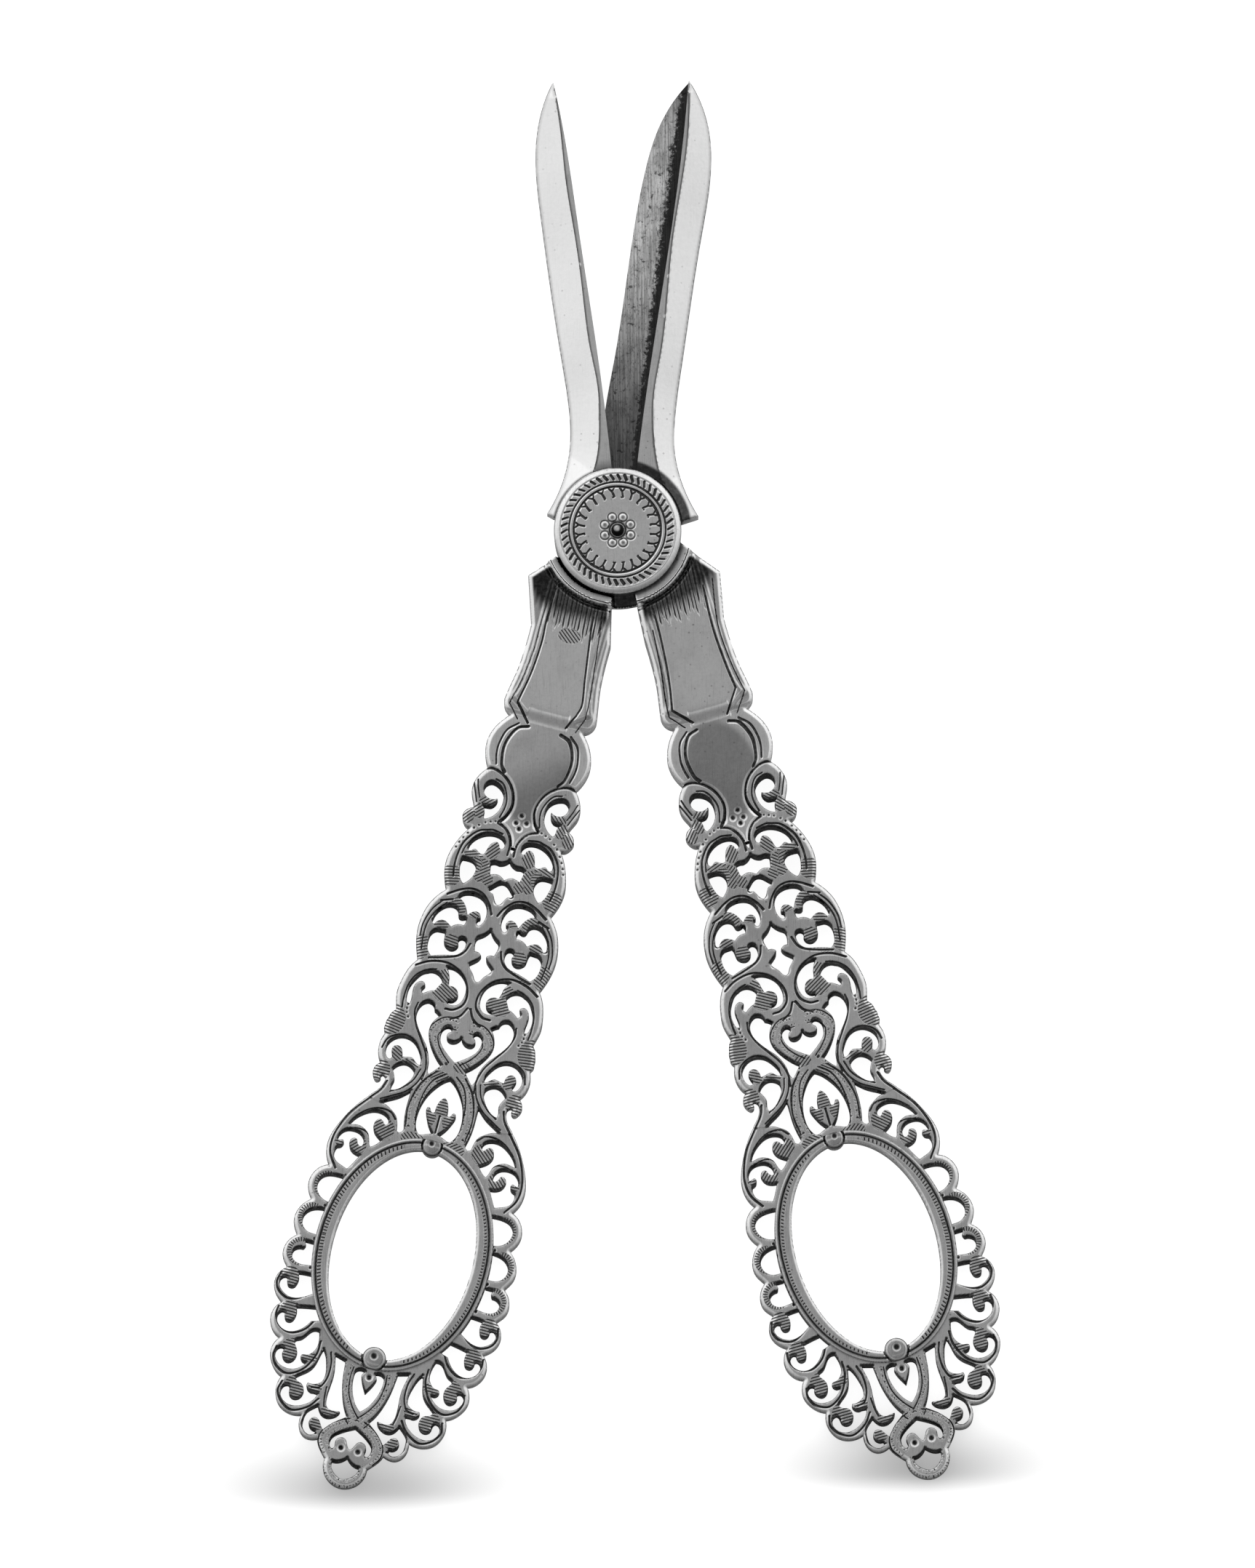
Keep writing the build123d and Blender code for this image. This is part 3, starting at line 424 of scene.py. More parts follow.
def mirrored_place(place):
    """Whether a placing turns the plan over."""
    o, x, y = place(np.array([[0.0, 0.0], [1.0, 0.0], [0.0, 1.0]]))
    return (x[0] - o[0]) * (y[1] - o[1]) - (x[1] - o[1]) * (y[0] - o[0]) < 0


def heights(node, g, mask, hand=None, under=False):
    """The CAD piece's top, or its underside, over the grid."""
    co, tri = triangles(node)
    tree = BVHTree.FromPolygons(co.tolist(), tri.tolist())
    out = np.full(g.X.shape, np.nan)
    spots = np.stack([g.X[mask], g.Y[mask]], -1)
    if hand:
        spots = to_row(spots, hand)
    way, start = (Vector((0, 0, 1)), -20) if under else (Vector((0, 0, -1)), 20)
    z = []
    for x, y in spots:
        hit = tree.ray_cast(Vector((x, y, start)), way)[0]
        z.append(hit.z if hit else np.nan)
    out[mask] = z
    for _ in range(12):   # spreads the heights a few cells beyond the mask
        bad = np.isnan(out)
        fixed = out.copy()
        for dj, di in ((0, 1), (0, -1), (1, 0), (-1, 0)):
            s = np.roll(out, (dj, di), (0, 1))
            use = bad & ~np.isnan(s)
            fixed[use] = s[use]
        out = fixed
    return np.nan_to_num(out)


def soften(z, mask, times):
    """Blurs steps into small bevels, within the mask."""
    for _ in range(times):
        total, weight = np.zeros(z.shape), np.zeros(z.shape)
        for dj in (-1, 0, 1):
            for di in (-1, 0, 1):
                m = np.roll(mask, (dj, di), (0, 1))
                total += np.roll(z, (dj, di), (0, 1)) * m
                weight += m
        z = np.where(mask, total / np.maximum(weight, 1), z)
    return z


# The engraving of one handle: (s, v) in millimetres, s from its axis and v down from the pivot
LINES = [
    ([(5.7, 33.1), (4.7, 33.05), (3.6, 33.45), (2.5, 34.35), (1.75, 35.6), (1.5, 37), (1.9, 38.4),
      (2.6, 39.4)], 0.34),
    ([(2.6, 39.55), (1.6, 39.95), (0.85, 40.8), (0.42, 41.9), (0.4, 43.2)], 0.32),
    ([(4.3, 34.2), (3.4, 34.5), (2.75, 35.3), (2.3, 36.5), (2.3, 37.6), (2.6, 38.8)], 0.24),
    ([(6.5, 34.8), (6.2, 35.8), (5.7, 37)], 0.2),
    ([(6.9, 35.3), (6.35, 36.6), (5.95, 37.6)], 0.2),
    ([(1.7, 40.8), (2.9, 40.6), (3.6, 40.75), (4.6, 41.1), (5.5, 42), (6.2, 43.2), (6.5, 44.8), (6.5, 46.3),
      (6.3, 47.5)], 0.3),
    ([(4.2, 41.5), (5.1, 42.3), (5.75, 43.4), (6.0, 44.4)], 0.22),
    ([(6.4, 49.9), (4.9, 48.95), (3.5, 48.5), (2.1, 48.8), (1.0, 49.9), (0.4, 51)], 0.34),
    ([(6.2, 51), (7.3, 52.4), (7.9, 54), (8.0, 55.6), (7.8, 57.4)], 0.22),
    ([(6.8, 50.9), (7.8, 52.3), (8.4, 54.2), (8.4, 55.8)], 0.22),
    ([(5.6, 50.4), (7.0, 50.9)], 0.3),
    ([(2.0, 55.3), (2.4, 56.4), (3.2, 57.2), (4.8, 57.8), (6.6, 58.3)], 0.3),
    ([(7.9, 59.6), (6.4, 58.75), (4.6, 58.35), (3.2, 58.6), (1.9, 59.4), (1.0, 60.6), (0.65, 61.9),
      (0.9, 63.1), (1.9, 63.95), (2.9, 64.05)], 0.32),
    ([(5.3, 59.5), (6.6, 60), (7.6, 60.9), (8.2, 62.4), (8.3, 64.2), (8.2, 65.2)], 0.26),
    ([(0.2, 63.3), (0.85, 64.5), (1.9, 65.15)], 0.32),
    ([(6.4, 64.2), (6.5, 65.4), (5.9, 67), (4.9, 68.5), (3.8, 70.2), (3.3, 72), (3.4, 73.5)], 0.26),
    ([(4.2, 71.5), (4.5, 70.4), (5.4, 69.2), (6.6, 68.6), (7.9, 68.8), (8.9, 69.6), (9.3, 70.8)], 0.26),
    ([(3.9, 72.3), (4.4, 73.8), (5.4, 75), (6.9, 76)], 0.22),
    ([(3.3, 72.4), (3.9, 74.1), (5.0, 75.5), (6.6, 76.5), (7.8, 77.2)], 0.24),
    ([(7.6, 74.8), (8.1, 76.1), (9.4, 77.7), (10.9, 79.6), (11.8, 81.5), (12.3, 83.5), (12.1, 85.4),
      (11.0, 87.1)], 0.3),
    ([(5.3, 79.2), (6.2, 78.4), (7.6, 78.3), (9.0, 78.9), (10.2, 80)], 0.22),
    ([(7.7, 82.3), (8.5, 81.6), (10.0, 81.6), (11.2, 82.5), (11.6, 83.6)], 0.22),
    ([(0.75, 72.1), (1.9, 73.1), (2.6, 74.6), (2.9, 76.4), (2.9, 78.2), (2.5, 80)], 0.2),
    ([(1.9, 72.0), (3.2, 73.6), (3.9, 75.4), (4.15, 77.4), (3.9, 79.4)], 0.2),
    ([(9.6, 102.8), (10.9, 104.1), (12.3, 104.6), (13.7, 104), (14.3, 102.9), (14.1, 101.6)], 0.3),
    ([(8.3, 106.2), (9.3, 107.8), (10.9, 108.7), (12.5, 108.2), (13.3, 107), (13.3, 105.8)], 0.3),
    ([(7.0, 108.8), (7.1, 110.6), (8.2, 112.7), (10.0, 113.8), (11.6, 113.2), (12.3, 112),
      (12.2, 110.8)], 0.3),
    ([(5.4, 115.9), (6.4, 117.2), (8.2, 118.1), (9.7, 117.5), (10.6, 116.2), (10.4, 114.9)], 0.3),
    ([(4.6, 120.2), (5.8, 120.3), (6.6, 119.5), (6.6, 118.4)], 0.28),
    ([(5.4, 109.8), (5.0, 111.2), (5.0, 113), (5.6, 114.4), (6.6, 114.7)], 0.26),
    ([(4.8, 114.2), (4.7, 115.6), (4.5, 116.6)], 0.24),
]
MILLED = [
    [(0.9, 65.6), (2.2, 65.7), (3.1, 66.4), (3.6, 67.5), (3.2, 68.9), (2.3, 70.1), (1.2, 71.1)],
    [(1.3, 72.5), (2.5, 74), (3.2, 75.9), (3.45, 77.8), (3.15, 79.7)],
    [(2.9, 110.8), (2.95, 112.5), (2.6, 114.4), (1.7, 116.1), (0.5, 117.5)],
    [(0.6, 117.9), (1.9, 118.5), (3.1, 119.6), (3.4, 120.8), (2.7, 121.9)],
    [(2.4, 122.9), (2.1, 124.2), (1.1, 125.2), (0, 125.5)],
]
DOTS = [(3.0, 39.4), (3.6, 39.6), (4.2, 39.85), (4.9, 40.4), (5.4, 40.9), (6.0, 41.7), (6.4, 42.4),
        (6.75, 43.1), (7.0, 43.8), (7.6, 64.7), (7.6, 65.2), (7.5, 65.7), (7.2, 66.2)]
FLOWER = [(0, 37.9), (0.85, 38.7), (-0.45, 38.95), (0.1, 39.6)]
PITS = [(9.9, 87.8, 0.3), (11.0, 92.0, 0.3), (11.2, 96.4, 0.28), (10.7, 100.1, 0.28), (1.1, 121.1, 0.55)]
HATCHES = [   # s, v, half widths across and down, angle of the lines
    (4.6, 37.4, 1.1, 0.9, -45), (5.3, 38.6, 1.0, 1.0, -45), (6.5, 39.5, 0.8, 1.1, -50),
    (2.4, 43.0, 1.0, 1.3, -50), (4.6, 44.2, 1.3, 0.55, -20), (3.1, 45.9, 1.1, 1.6, -38),
    (4.0, 45.4, 0.8, 1.1, 12), (6.6, 47.5, 1.3, 1.4, -12), (2.0, 46.9, 0.7, 0.8, -40),
    (4.7, 51.1, 1.1, 1.3, -20), (2.6, 51.4, 0.85, 0.7, 20), (6.2, 53.8, 1.0, 0.6, -15),
    (4.4, 55.6, 1.0, 1.0, 5), (7.9, 57.2, 1.2, 1.6, -24), (3.5, 62.0, 1.7, 1.4, 30),
    (9.0, 67.0, 1.7, 2.0, 8), (4.0, 60.0, 0.9, 0.9, 40), (7.3, 71.0, 0.95, 1.1, 28),
    (8.8, 73.6, 1.3, 1.4, 0), (5.2, 71.8, 1.3, 0.5, 20), (0.0, 76.0, 0.9, 1.5, 0),
    (1.3, 77.9, 0.9, 1.2, 0), (2.6, 81.1, 1.6, 0.9, 38), (6.5, 80.7, 1.5, 1.4, -42),
    (9.5, 83.5, 1.6, 1.4, -45), (11.3, 83.7, 0.7, 0.6, 0), (12.9, 101.8, 1.4, 1.3, 0),
    (11.7, 106.1, 1.5, 1.4, 0), (10.3, 110.8, 1.5, 1.6, 0), (8.7, 115.3, 1.5, 1.7, 0),
    (4.8, 118.9, 0.9, 0.9, 0), (8.0, 111.0, 1.1, 0.7, 0), (6.2, 114.6, 0.9, 0.7, 0),
    (3.7, 117.0, 1.1, 0.7, 0), (10.0, 106.7, 0.8, 0.7, 0),
]
SCALLOPS = [(11.3, 89.4), (12.2, 93.8), (12.4, 98.4)]
SHANK_LINES = {   # the panels' edges, x across and v down from the pivot, outer side first
    "left": [[(-3.3, 9), (-3.4, 13), (-3.25, 16), (-3.5, 20), (-4.2, 24.1), (-2.3, 26.3)],
             [(-4.0, 11), (-4.05, 14), (-4.0, 17), (-4.45, 21), (-5.2, 24.4), (-3.7, 26.1)],
             [(2.2, 10.5), (2.4, 13), (2.8, 16), (3.3, 19.5), (3.75, 22.4), (3.4, 24), (2.5, 25.7)],
             [(3.3, 11), (3.95, 16.5), (4.5, 21.5), (4.6, 24), (3.8, 25.9)]],
    "right": [[(-3.8, 9.3), (-3.55, 13), (-3.5, 16), (-3.75, 20), (-4.1, 23), (-2.2, 25.8)],
              [(-5.2, 8.6), (-4.4, 13), (-4.2, 16), (-4.5, 20), (-5.1, 23.6), (-3.4, 26)],
              [(3.1, 10.5), (3.2, 14), (3.5, 18), (3.9, 21), (4.4, 23.6), (2.3, 25.7)],
              [(3.9, 13), (4.3, 18), (4.9, 22.5), (5.0, 24.2), (3.4, 26)]],
}


def engrave_handle(g):
    """The whole engraving of a handle, the same on both sides of its axis."""
    r = Relief(g)
    for side in (1, -1):
        for points, width in LINES:
            r.line([(side * s, -v) for s, v in points], width=width * 1.35, ink=0.5)
        for points in MILLED:
            for offset in (0.38, -0.38):
                r.line([(side * s, -v) for s, v in points], width=0.3, beads=0.4, offset=offset)
            for offset in (0.72, -0.72):
                r.line([(side * s, -v) for s, v in points], width=0.22, offset=offset)
        for s, v in DOTS:
            r.pit(side * s, -v, 0.26, depth=0.12)
        for s, v, rad in PITS:
            r.pit(side * s, -v, rad)
        for s, v, rx, ry, angle in HATCHES:
            r.hatch(side * s, -v, rx, ry, side * angle)
        for s, v in SCALLOPS:
            first = -100 if side > 0 else 80
            r.fan(side * s, -v, 1.2, 1.85, first, first + 200, 12)
    r.hatch(1.1, -70.8, 1.2, 0.75, -38)
    r.hatch(-1.3, -72.6, 1.3, 0.8, 38)
    r.line([(0, -77.4), (0, -79.6)])
    for s, v in FLOWER:
        r.pit(s, -v, 0.5)
    r.pit(0, -111.6, 0.5, depth=0.4)
    r.pit(0, -108.6, 0.52, depth=0.4)
    return r


def engrave_ring(g, d_far):
    """A line and a milled row that follow the ring's outer edge, and a ringed pit on each bead."""
    r = Relief(g)
    r.mark(np.clip(1.5 - np.abs(d_far - 0.55) / 0.17, 0, 1), 0.03, 1.0)
    turn = np.arctan2(g.Y - BOW_MIDDLE, g.X)
    along = 12 * turn / 0.47
    broad = 0.14 + 0.06 * ease(-np.cos(turn), -0.3, 0.7)
    r.stripes(np.clip(1.6 - np.abs(d_far - 0.97) / broad, 0, 1) * (np.abs(np.sin(turn)) < 0.97), along)
    for y, radius in BEADS:
        q = np.hypot(g.X, g.Y - y)
        r.hatched[q < radius + 0.1] = 0
        r.dark[q < radius] = 0.25
        r.mark(np.clip(1.3 - np.abs(q - radius) / 0.16, 0, 1), 0.12, 0.95)
        pit = np.hypot(g.X + 0.1, g.Y - y - 0.2 * radius)
        r.mark(np.clip(2 * (1.2 - pit / (0.3 * radius)), 0, 1), 0.12, 0.97)
        r.mark(np.clip(1 - np.abs(q - 0.7 * radius) / 0.15, 0, 1), 0.0, 0.6)
    return r


def outside_region(mask):
    """The part of the empty cells that is joined to the grid's rim."""
    rows, cols = mask.shape
    free = ~mask
    seen = np.zeros(mask.shape, dtype=bool)
    todo = [(0, 0)]
    seen[0, 0] = True
    while todo:
        j, i = todo.pop()
        for a, b in ((j + 1, i), (j - 1, i), (j, i + 1), (j, i - 1)):
            if 0 <= a < rows and 0 <= b < cols and free[a, b] and not seen[a, b]:
                seen[a, b] = True
                todo.append((a, b))
    return seen


def sort_edges(g, edges, mask, far):
    """Splits edges into the outer outline and the pierced holes; seams inside are left out."""
    mid = edges.mean(axis=1)
    d = edges[:, 1] - edges[:, 0]
    nrm = np.stack([-d[:, 1], d[:, 0]], -1) / np.maximum(np.hypot(d[:, 0], d[:, 1]), 1e-9)[:, None]

    def at(a, p):
        k = np.clip(np.round((p - g.low) / g.h).astype(int), 0, g.n - 1)
        return a[k[:, 1], k[:, 0]]

    one, two = mid + nrm * g.h * 1.1, mid - nrm * g.h * 1.1
    free_one, free_two = ~at(mask, one), ~at(mask, two)
    rim = free_one | free_two
    outer = (free_one & at(far, one)) | (free_two & at(far, two))
    return edges[rim & outer], edges[rim & ~outer]


def in_bow(p):
    """Whether points lie inside the finger opening or on its edge."""
    return (p[..., 0] / 9.6) ** 2 + ((p[..., 1] - BOW_MIDDLE) / 14.2) ** 2 < 1


def build_handles():
    """Grips, finger rings and fringes, made once for the left and mirrored, and both shanks."""
    outline = {}
    for hand in ("left", "right"):
        for key in ("shank", "grip", "bow_ring", "bow_fringe"):
            node = f"{hand}_{key}"
            outline[node] = to_local(plan_edges(node), hand)
    own = [e for node, e in outline.items() if node.startswith("left")]
    g = Grid((-17, -128), (17, -30), 0.11)
    union = np.zeros(g.X.shape, dtype=bool)
    for e in own:
        union |= g.inside(e)
    every = np.concatenate(own)
    outer, holes = sort_edges(g, every, union, outside_region(union))
    opening = in_bow(holes.mean(axis=1))
    outer = np.concatenate([outer, holes[opening]])
    holes = holes[~opening]
    d_outer = g.distance(outer, 1.2)[0]
    d_hole, at_hole = g.distance(holes, 1.2)
    art = engrave_handle(g)

    # Painted shade in dark bands round the pierced holes, widest on their upper sides; a dark line along
    # the outer edge; rubbed, brighter outer edges; and a painted highlight on the lower rims of the holes
    below = np.clip((g.Y - at_hole[..., 1]) / np.maximum(d_hole, 0.05), 0, 1)
    band = 0.07 + 0.31 * below
    art.dark = np.maximum(art.dark, 0.97 * ease(d_hole, band + 0.06, band - 0.04))
    art.dark = np.maximum(art.dark, 0.6 * ease(d_outer, 0.16, 0.04))
    above = np.clip((at_hole[..., 1] - g.Y) / np.maximum(d_hole, 0.05), 0, 1)
    art.wear_and_highlight = np.maximum(0.8 * ease(d_outer, 0.65, 0.25),
                            0.6 * above * ease(d_hole, 0.5, 0.25) * (d_hole > 0.15))

    for key in ("grip", "bow_fringe", "bow_ring"):
        node = f"left_{key}"
        edges = outline[node]
        keep = g.inside(edges, half=g.h / 2)
        near = g.distance(edges, 0.3)[1]
        spread = g.inside(edges) | (g.distance(edges, 0.3)[0] < 0.2)
        z = heights(node, g, spread, "left")
        if key == "bow_ring":
            inner_rim = in_bow(edges.mean(axis=1))
            d_in, d_far = g.distance(edges[inner_rim], 2.5)[0], g.distance(edges[~inner_rim], 2.5)[0]
            r = engrave_ring(g, d_far)
            r.dark = np.maximum(r.dark, 0.7 * ease(d_far, 0.2, 0.05))
            r.wear_and_highlight = 0.4 * ease(d_in, 0.45, 0.15)
            z = RING_TOP - rounded(d_far, 0.3, 0.2) - rounded(d_in, 0.4, 0.3)
            for y, radius in BEADS:
                q = np.hypot(g.X, g.Y - y) / radius
                bead = RING_TOP - 0.25 + 0.2 * np.sqrt(np.clip(1 - q * q, 0, 1))
                z = np.where(q < 1.08, bead, z)
            top = z - r.cut
        else:
            r = art
            z = soften(z, spread, 2)
            top = z - rounded(d_hole, 0.16, 0.1) - rounded(d_outer, 0.65, 0.38) - r.cut
        wall = np.where((d_hole < 0.35) & (d_hole <= d_outer), 0.88, 0.1)
        for to in ("left", "right"):
            ob = relief_mesh(f"{to}_{key}_engraved", r, keep, near, top, 0.0,
                             lambda p, to=to: to_row(p, to), wall)
            dress(ob, f"{to}_{key}", "worn_silver")
    for hand in ("left", "right"):
        build_shank(hand, outline[f"{hand}_shank"])


def build_shank(hand, edges):
    """A shank: panel with its sooty top, the collar round the disc, and the neck plate below."""
    left = hand == "left"
    g = Grid((-17, -42), (17, 10), 0.115)
    keep = g.inside(edges, half=g.h / 2)
    mask = g.inside(edges)
    far = outside_region(mask)
    outer, holes = sort_edges(g, edges, mask, far)
    d_outer = g.distance(outer, 2.0)[0]
    near = g.distance(np.concatenate([outer, holes]), 0.3)[1]
    spread = mask | (d_outer < 0.2)
    raw = heights(f"{hand}_shank", g, spread, hand)
    z = soften(raw, spread, 3)
    root = (g.Y < -23.4) & (g.Y > -30) & (np.abs(g.X) < 2.6)
    z = np.where(root, soften(raw, spread, 30), z)
    low = heights(f"{hand}_shank", g, spread, hand, under=True)
    r = Relief(g)

    # Engraved edges of the panel and of the neck plate
    for k, path in enumerate(SHANK_LINES[hand]):
        for part in (path[:-1], path[-2:]):
            r.line([(x, -v) for x, v in part], width=0.4 if k % 2 == 0 else 0.2)
    for s in (1, -1):
        r.line([(s * 2.1, -26.7), (s * 3.3, -27.2), (s * 4.1, -28.6), (s * 4.4, -30.2), (s * 4.1, -32.2),
                (s * 3.5, -33.1)], width=0.6)
        r.line([(s * 3.4, -26.6), (s * 4.6, -27.8), (s * 5.1, -29.6), (s * 5.1, -31), (s * 4.8, -32.3)])
    for s, v in FLOWER:
        r.pit(s, -v, 0.5)

    # Uneven strokes and soot at the panel's top
    pivot = to_local([0, 0], hand)
    away = np.hypot(g.X - pivot[0], g.Y - pivot[1])
    panel = away > SHOULDER
    reach = 3.9 + 0.5 * np.sin(5 * g.X) + 0.3 * np.sin(13 * g.X) + (0.7 if left else -0.25 * g.X)
    uneven = 0.8 + 0.2 * np.sin(7.7 * g.X + 1)
    r.stripes(uneven * np.clip((9.9 + reach - away) / 1.2, 0, 1) * (away > 9.9) * (np.abs(g.X) < 3.4)
              * (g.Y < -5), (g.X + 0.06 * g.Y) / 0.5 + 0.2 * np.sin(3.1 * g.X))
    if left:
        r.hatch(-0.1, -14.3, 1.5, 0.95, -40)
    # Painted shade on the low lap plate that lies under the other handle's shoulder
    r.dark = np.maximum(r.dark, 0.96 * ((z < 1.6) & mask))
    darkening = 1.25 + 0.3 * np.clip(-g.X, -1, 4) + (0.3 if left else 0) + 0.25 * np.sin(9 * g.X)
    darkening = ease(away - SHOULDER, darkening + 2.5, 0.8 * darkening + 0.5) * panel
    r.dark = np.maximum(r.dark, 0.98 * ease(d_outer, 0.3, 0.7) * darkening)
    corner = ease(-g.X, 1.5, 4.5) * ease(away, 14.0, 10.0) * panel
    r.dark = np.maximum(r.dark, 0.93 * corner * ease(d_outer, 0.4, 0.9))

    # Painted reflection on the neck plate: darker, and on the left shank lighter towards its upper left; a
    # darker band along the flanks; and a painted shadow in the gap round the disc
    neck = np.clip(1 - ((g.X - 0.5) / 5.0) ** 2 - ((g.Y + 32.5) / 7.0) ** 2, 0, 1)
    painted_neck_shade = 0.14 + 0.42 * ease(0.6 * g.X - 0.8 * (g.Y + 31), -2, 4) if left else 0.52
    r.dark = np.maximum(r.dark, painted_neck_shade * ease(neck, 0, 0.35))
    flank = ease(d_outer, 0.4, 0.6) * ease(d_outer, 1.75, 1.5) * ease(g.Y, -26, -24)
    r.dark = np.maximum(r.dark, 0.3 * flank * (away > 9.8))
    r.dark = np.maximum(r.dark, 0.97 * ease(away, 8.9, 8.2) * (away > 7.9))

    # The collar: an engraved circle, a raised rim and a step down to the panel
    r.line([on_circle(9.2, a, pivot) for a in np.radians(np.arange(150, 391, 4))], width=0.16)
    ledge = (away > 8.35) & (away < 9.75) & (raw > 3.4)
    z[ledge] = (3.78 + 0.2 * ease(away, 9.15, 9.3) - 0.5 * ease(away, 9.42, 9.72))[ledge]
    z -= 0.35 * ease(away, 9.5, 9.72) * ease(away, 10.4, 9.9) * ~ledge
    body = np.clip((away - 9.8) / 0.4, 0, 1)
    r.wear_and_highlight = body * ease(d_outer, 0.9, 0.4)
    top = z - rounded(d_outer, 0.6, 0.45) * body - rounded(d_outer, 0.2, 0.12) * (1 - body) - r.cut
    ob = relief_mesh(f"{hand}_shank_engraved", r, keep, near, top, low,
                     lambda p: to_row(p, hand), np.full(g.X.shape, 0.15))
    dress(ob, f"{hand}_shank", "silver")


def build_blades():
    """Each blade back in two parts: a flange that falls away outwards, and the flat land and tang."""
    for hand in ("left", "right"):
        node = f"{hand}_blade_back"
        edges, inner = plan_edges(node), plan_edges(node, 4.2)
        g = Grid(edges.reshape(-1, 2).min(0) - 0.5, edges.reshape(-1, 2).max(0) + 0.5, 0.12)
        whole, flange = g.inside(edges), g.inside(inner)
        rim = np.concatenate(sort_edges(g, edges, whole, outside_region(whole)))
        d_out, at_out = g.distance(rim, 7.0)
        own = inner[[d > 0.05 for d in edge_gap(inner, rim)]]   # the crease between both parts
        d_in, at_in = g.distance(own, 7.0)
        near = np.where((d_in < d_out)[..., None], at_in, at_out)
        under = heights(node, g, whole | (d_out < 0.25), under=True)
        crest = 4.2 - 0.25 * np.minimum(d_in, 4.4) - rounded(d_out, 0.3, 0.22)
        base = np.where(under > 1.5, 2.1, 1.05)
        parts = [("flange", g.inside(inner, half=g.h / 2), crest, base)]
        land = soften(heights(node, g, whole & ~flange), whole & ~flange, 1)
        parts.append(("land", g.inside(edges, half=g.h / 2) & ~g.inside(inner, half=g.h / 2), land, under))
        away = np.hypot(g.X, g.Y)
        for part, keep, top, low in parts:
            r = Relief(g)
            if part == "land":
                # Painted shadow on the land near the disc, and painted shade along the foot of the flange
                r.dark = np.maximum(np.clip(0.75 - 0.5 * (away - 8.0), 0, 0.8), 0.75 * ease(d_in, 0.3, 0.1))
            else:
                r.dark = 0.3 * ease(d_out, 0.5, 0.1)
            gap = 8.1 if hand == "left" else 9.2   # the shadow round the disc ends here
            r.dark = np.maximum(r.dark, 0.95 * ease(away, gap + 0.4, gap) * (g.Y > 0))
            ob = relief_mesh(f"{node}_{part}", r, keep, near, top, low, lambda p: p,
                             np.full(g.X.shape, 0.2))
            dress(ob, node, "bright_silver" if part == "flange" else "silver")


def edge_gap(some, others):
    """How far the middle of each edge lies from the nearest other edge."""
    mid = some.mean(axis=1)
    a, b = others[:, 0], others[:, 1]
    d = b - a
    for p in mid:
        t = np.clip(((p - a) * d).sum(1) / np.maximum((d * d).sum(1), 1e-12), 0, 1)
        yield np.hypot(*(p - a - t[:, None] * d).T).min()


def on_circle(radius, turn, middle=(0.0, 0.0)):
    """A point on a circle, turn in radians."""
    return middle[0] + radius * math.cos(turn), middle[1] + radius * math.sin(turn)


def build_disc():
    """The rosette: a domed rim, a ring of commas, two circles, ticks and eight petals."""
    g = Grid((-8.4, -8.4), (8.4, 8.4), 0.075)
    turn = np.radians(np.arange(0, 360.1, 1.5))
    ring = [np.stack([rad * np.cos(turn), rad * np.sin(turn)], -1) for rad in (DISC_RADIUS, 0.81)]
    edges = np.concatenate([np.stack([q[:-1], q[1:]], 1) for q in ring])
    keep = g.inside(edges, half=g.h / 2)
    near = g.distance(edges, 0.2)[1]
    r = Relief(g)
    away = np.hypot(g.X, g.Y)
    for k in range(50):
        a = 2 * math.pi * k / 50
        deep = 0.5 + 0.5 * math.sin(2 * a - 0.4)
        r.line([on_circle(6.45, a), on_circle(7.02, a + 0.05)],
               width=0.4 + 0.14 * deep + 0.06 * math.sin(11 * a), ink=0.7 + 0.25 * deep)
    for rad, w in ((5.5, 0.46), (6.1, 0.36)):
        r.line([on_circle(rad, a) for a in np.radians(np.arange(0, 361, 4))], width=w)
    for k in range(24):
        a = 2 * math.pi * (k + 0.5) / 24
        lean = 0.05 * math.sin(3 * a)
        for a0, a1, r0, r1, w in ((a + lean, a, 4.25, 4.95, 0.4), (a, a + 0.07, 4.9, 5.4, 0.36),
                                  (a, a - 0.06, 4.9, 5.4, 0.3)):
            r.line([on_circle(r0, a0), on_circle(r1, a1)], width=w, ink=0.85)
        r.pit(*on_circle(4.2, a), 0.22, depth=0.05)
    z = DISC_TOP - rounded(DISC_RADIUS - away, 0.95, 0.55)
    z -= 0.05 * np.clip((away - 7.05) / 0.15, 0, 1) * np.clip((7.35 - away) / 0.15, 0, 1)
    for k in range(8):
        x, y = on_circle(1.75, 2 * math.pi * (k + 0.5) / 8)
        q = np.hypot(g.X - x, g.Y - y)
        z += 0.1 * np.sqrt(np.clip(1 - (q / 0.5) ** 2, 0, 1))
        r.mark(np.clip(1.2 - np.abs(q - 0.56) / 0.14, 0, 1), 0.07, 1.0)
        r.mark(np.clip(1.2 - q / 0.24, 0, 1), 0.0, 0.7)
    r.mark(np.clip(1.3 - np.abs(away - 1.0) / 0.25, 0, 1) * (away > 0.8), 0.1, 0.97)
    ob = relief_mesh("rosette_engraved", r, keep, near, z - r.cut, 4.05, lambda p: p,
                     np.full(g.X.shape, 0.1))
    dress(ob, "rosette_disc", "silver")


# Materials

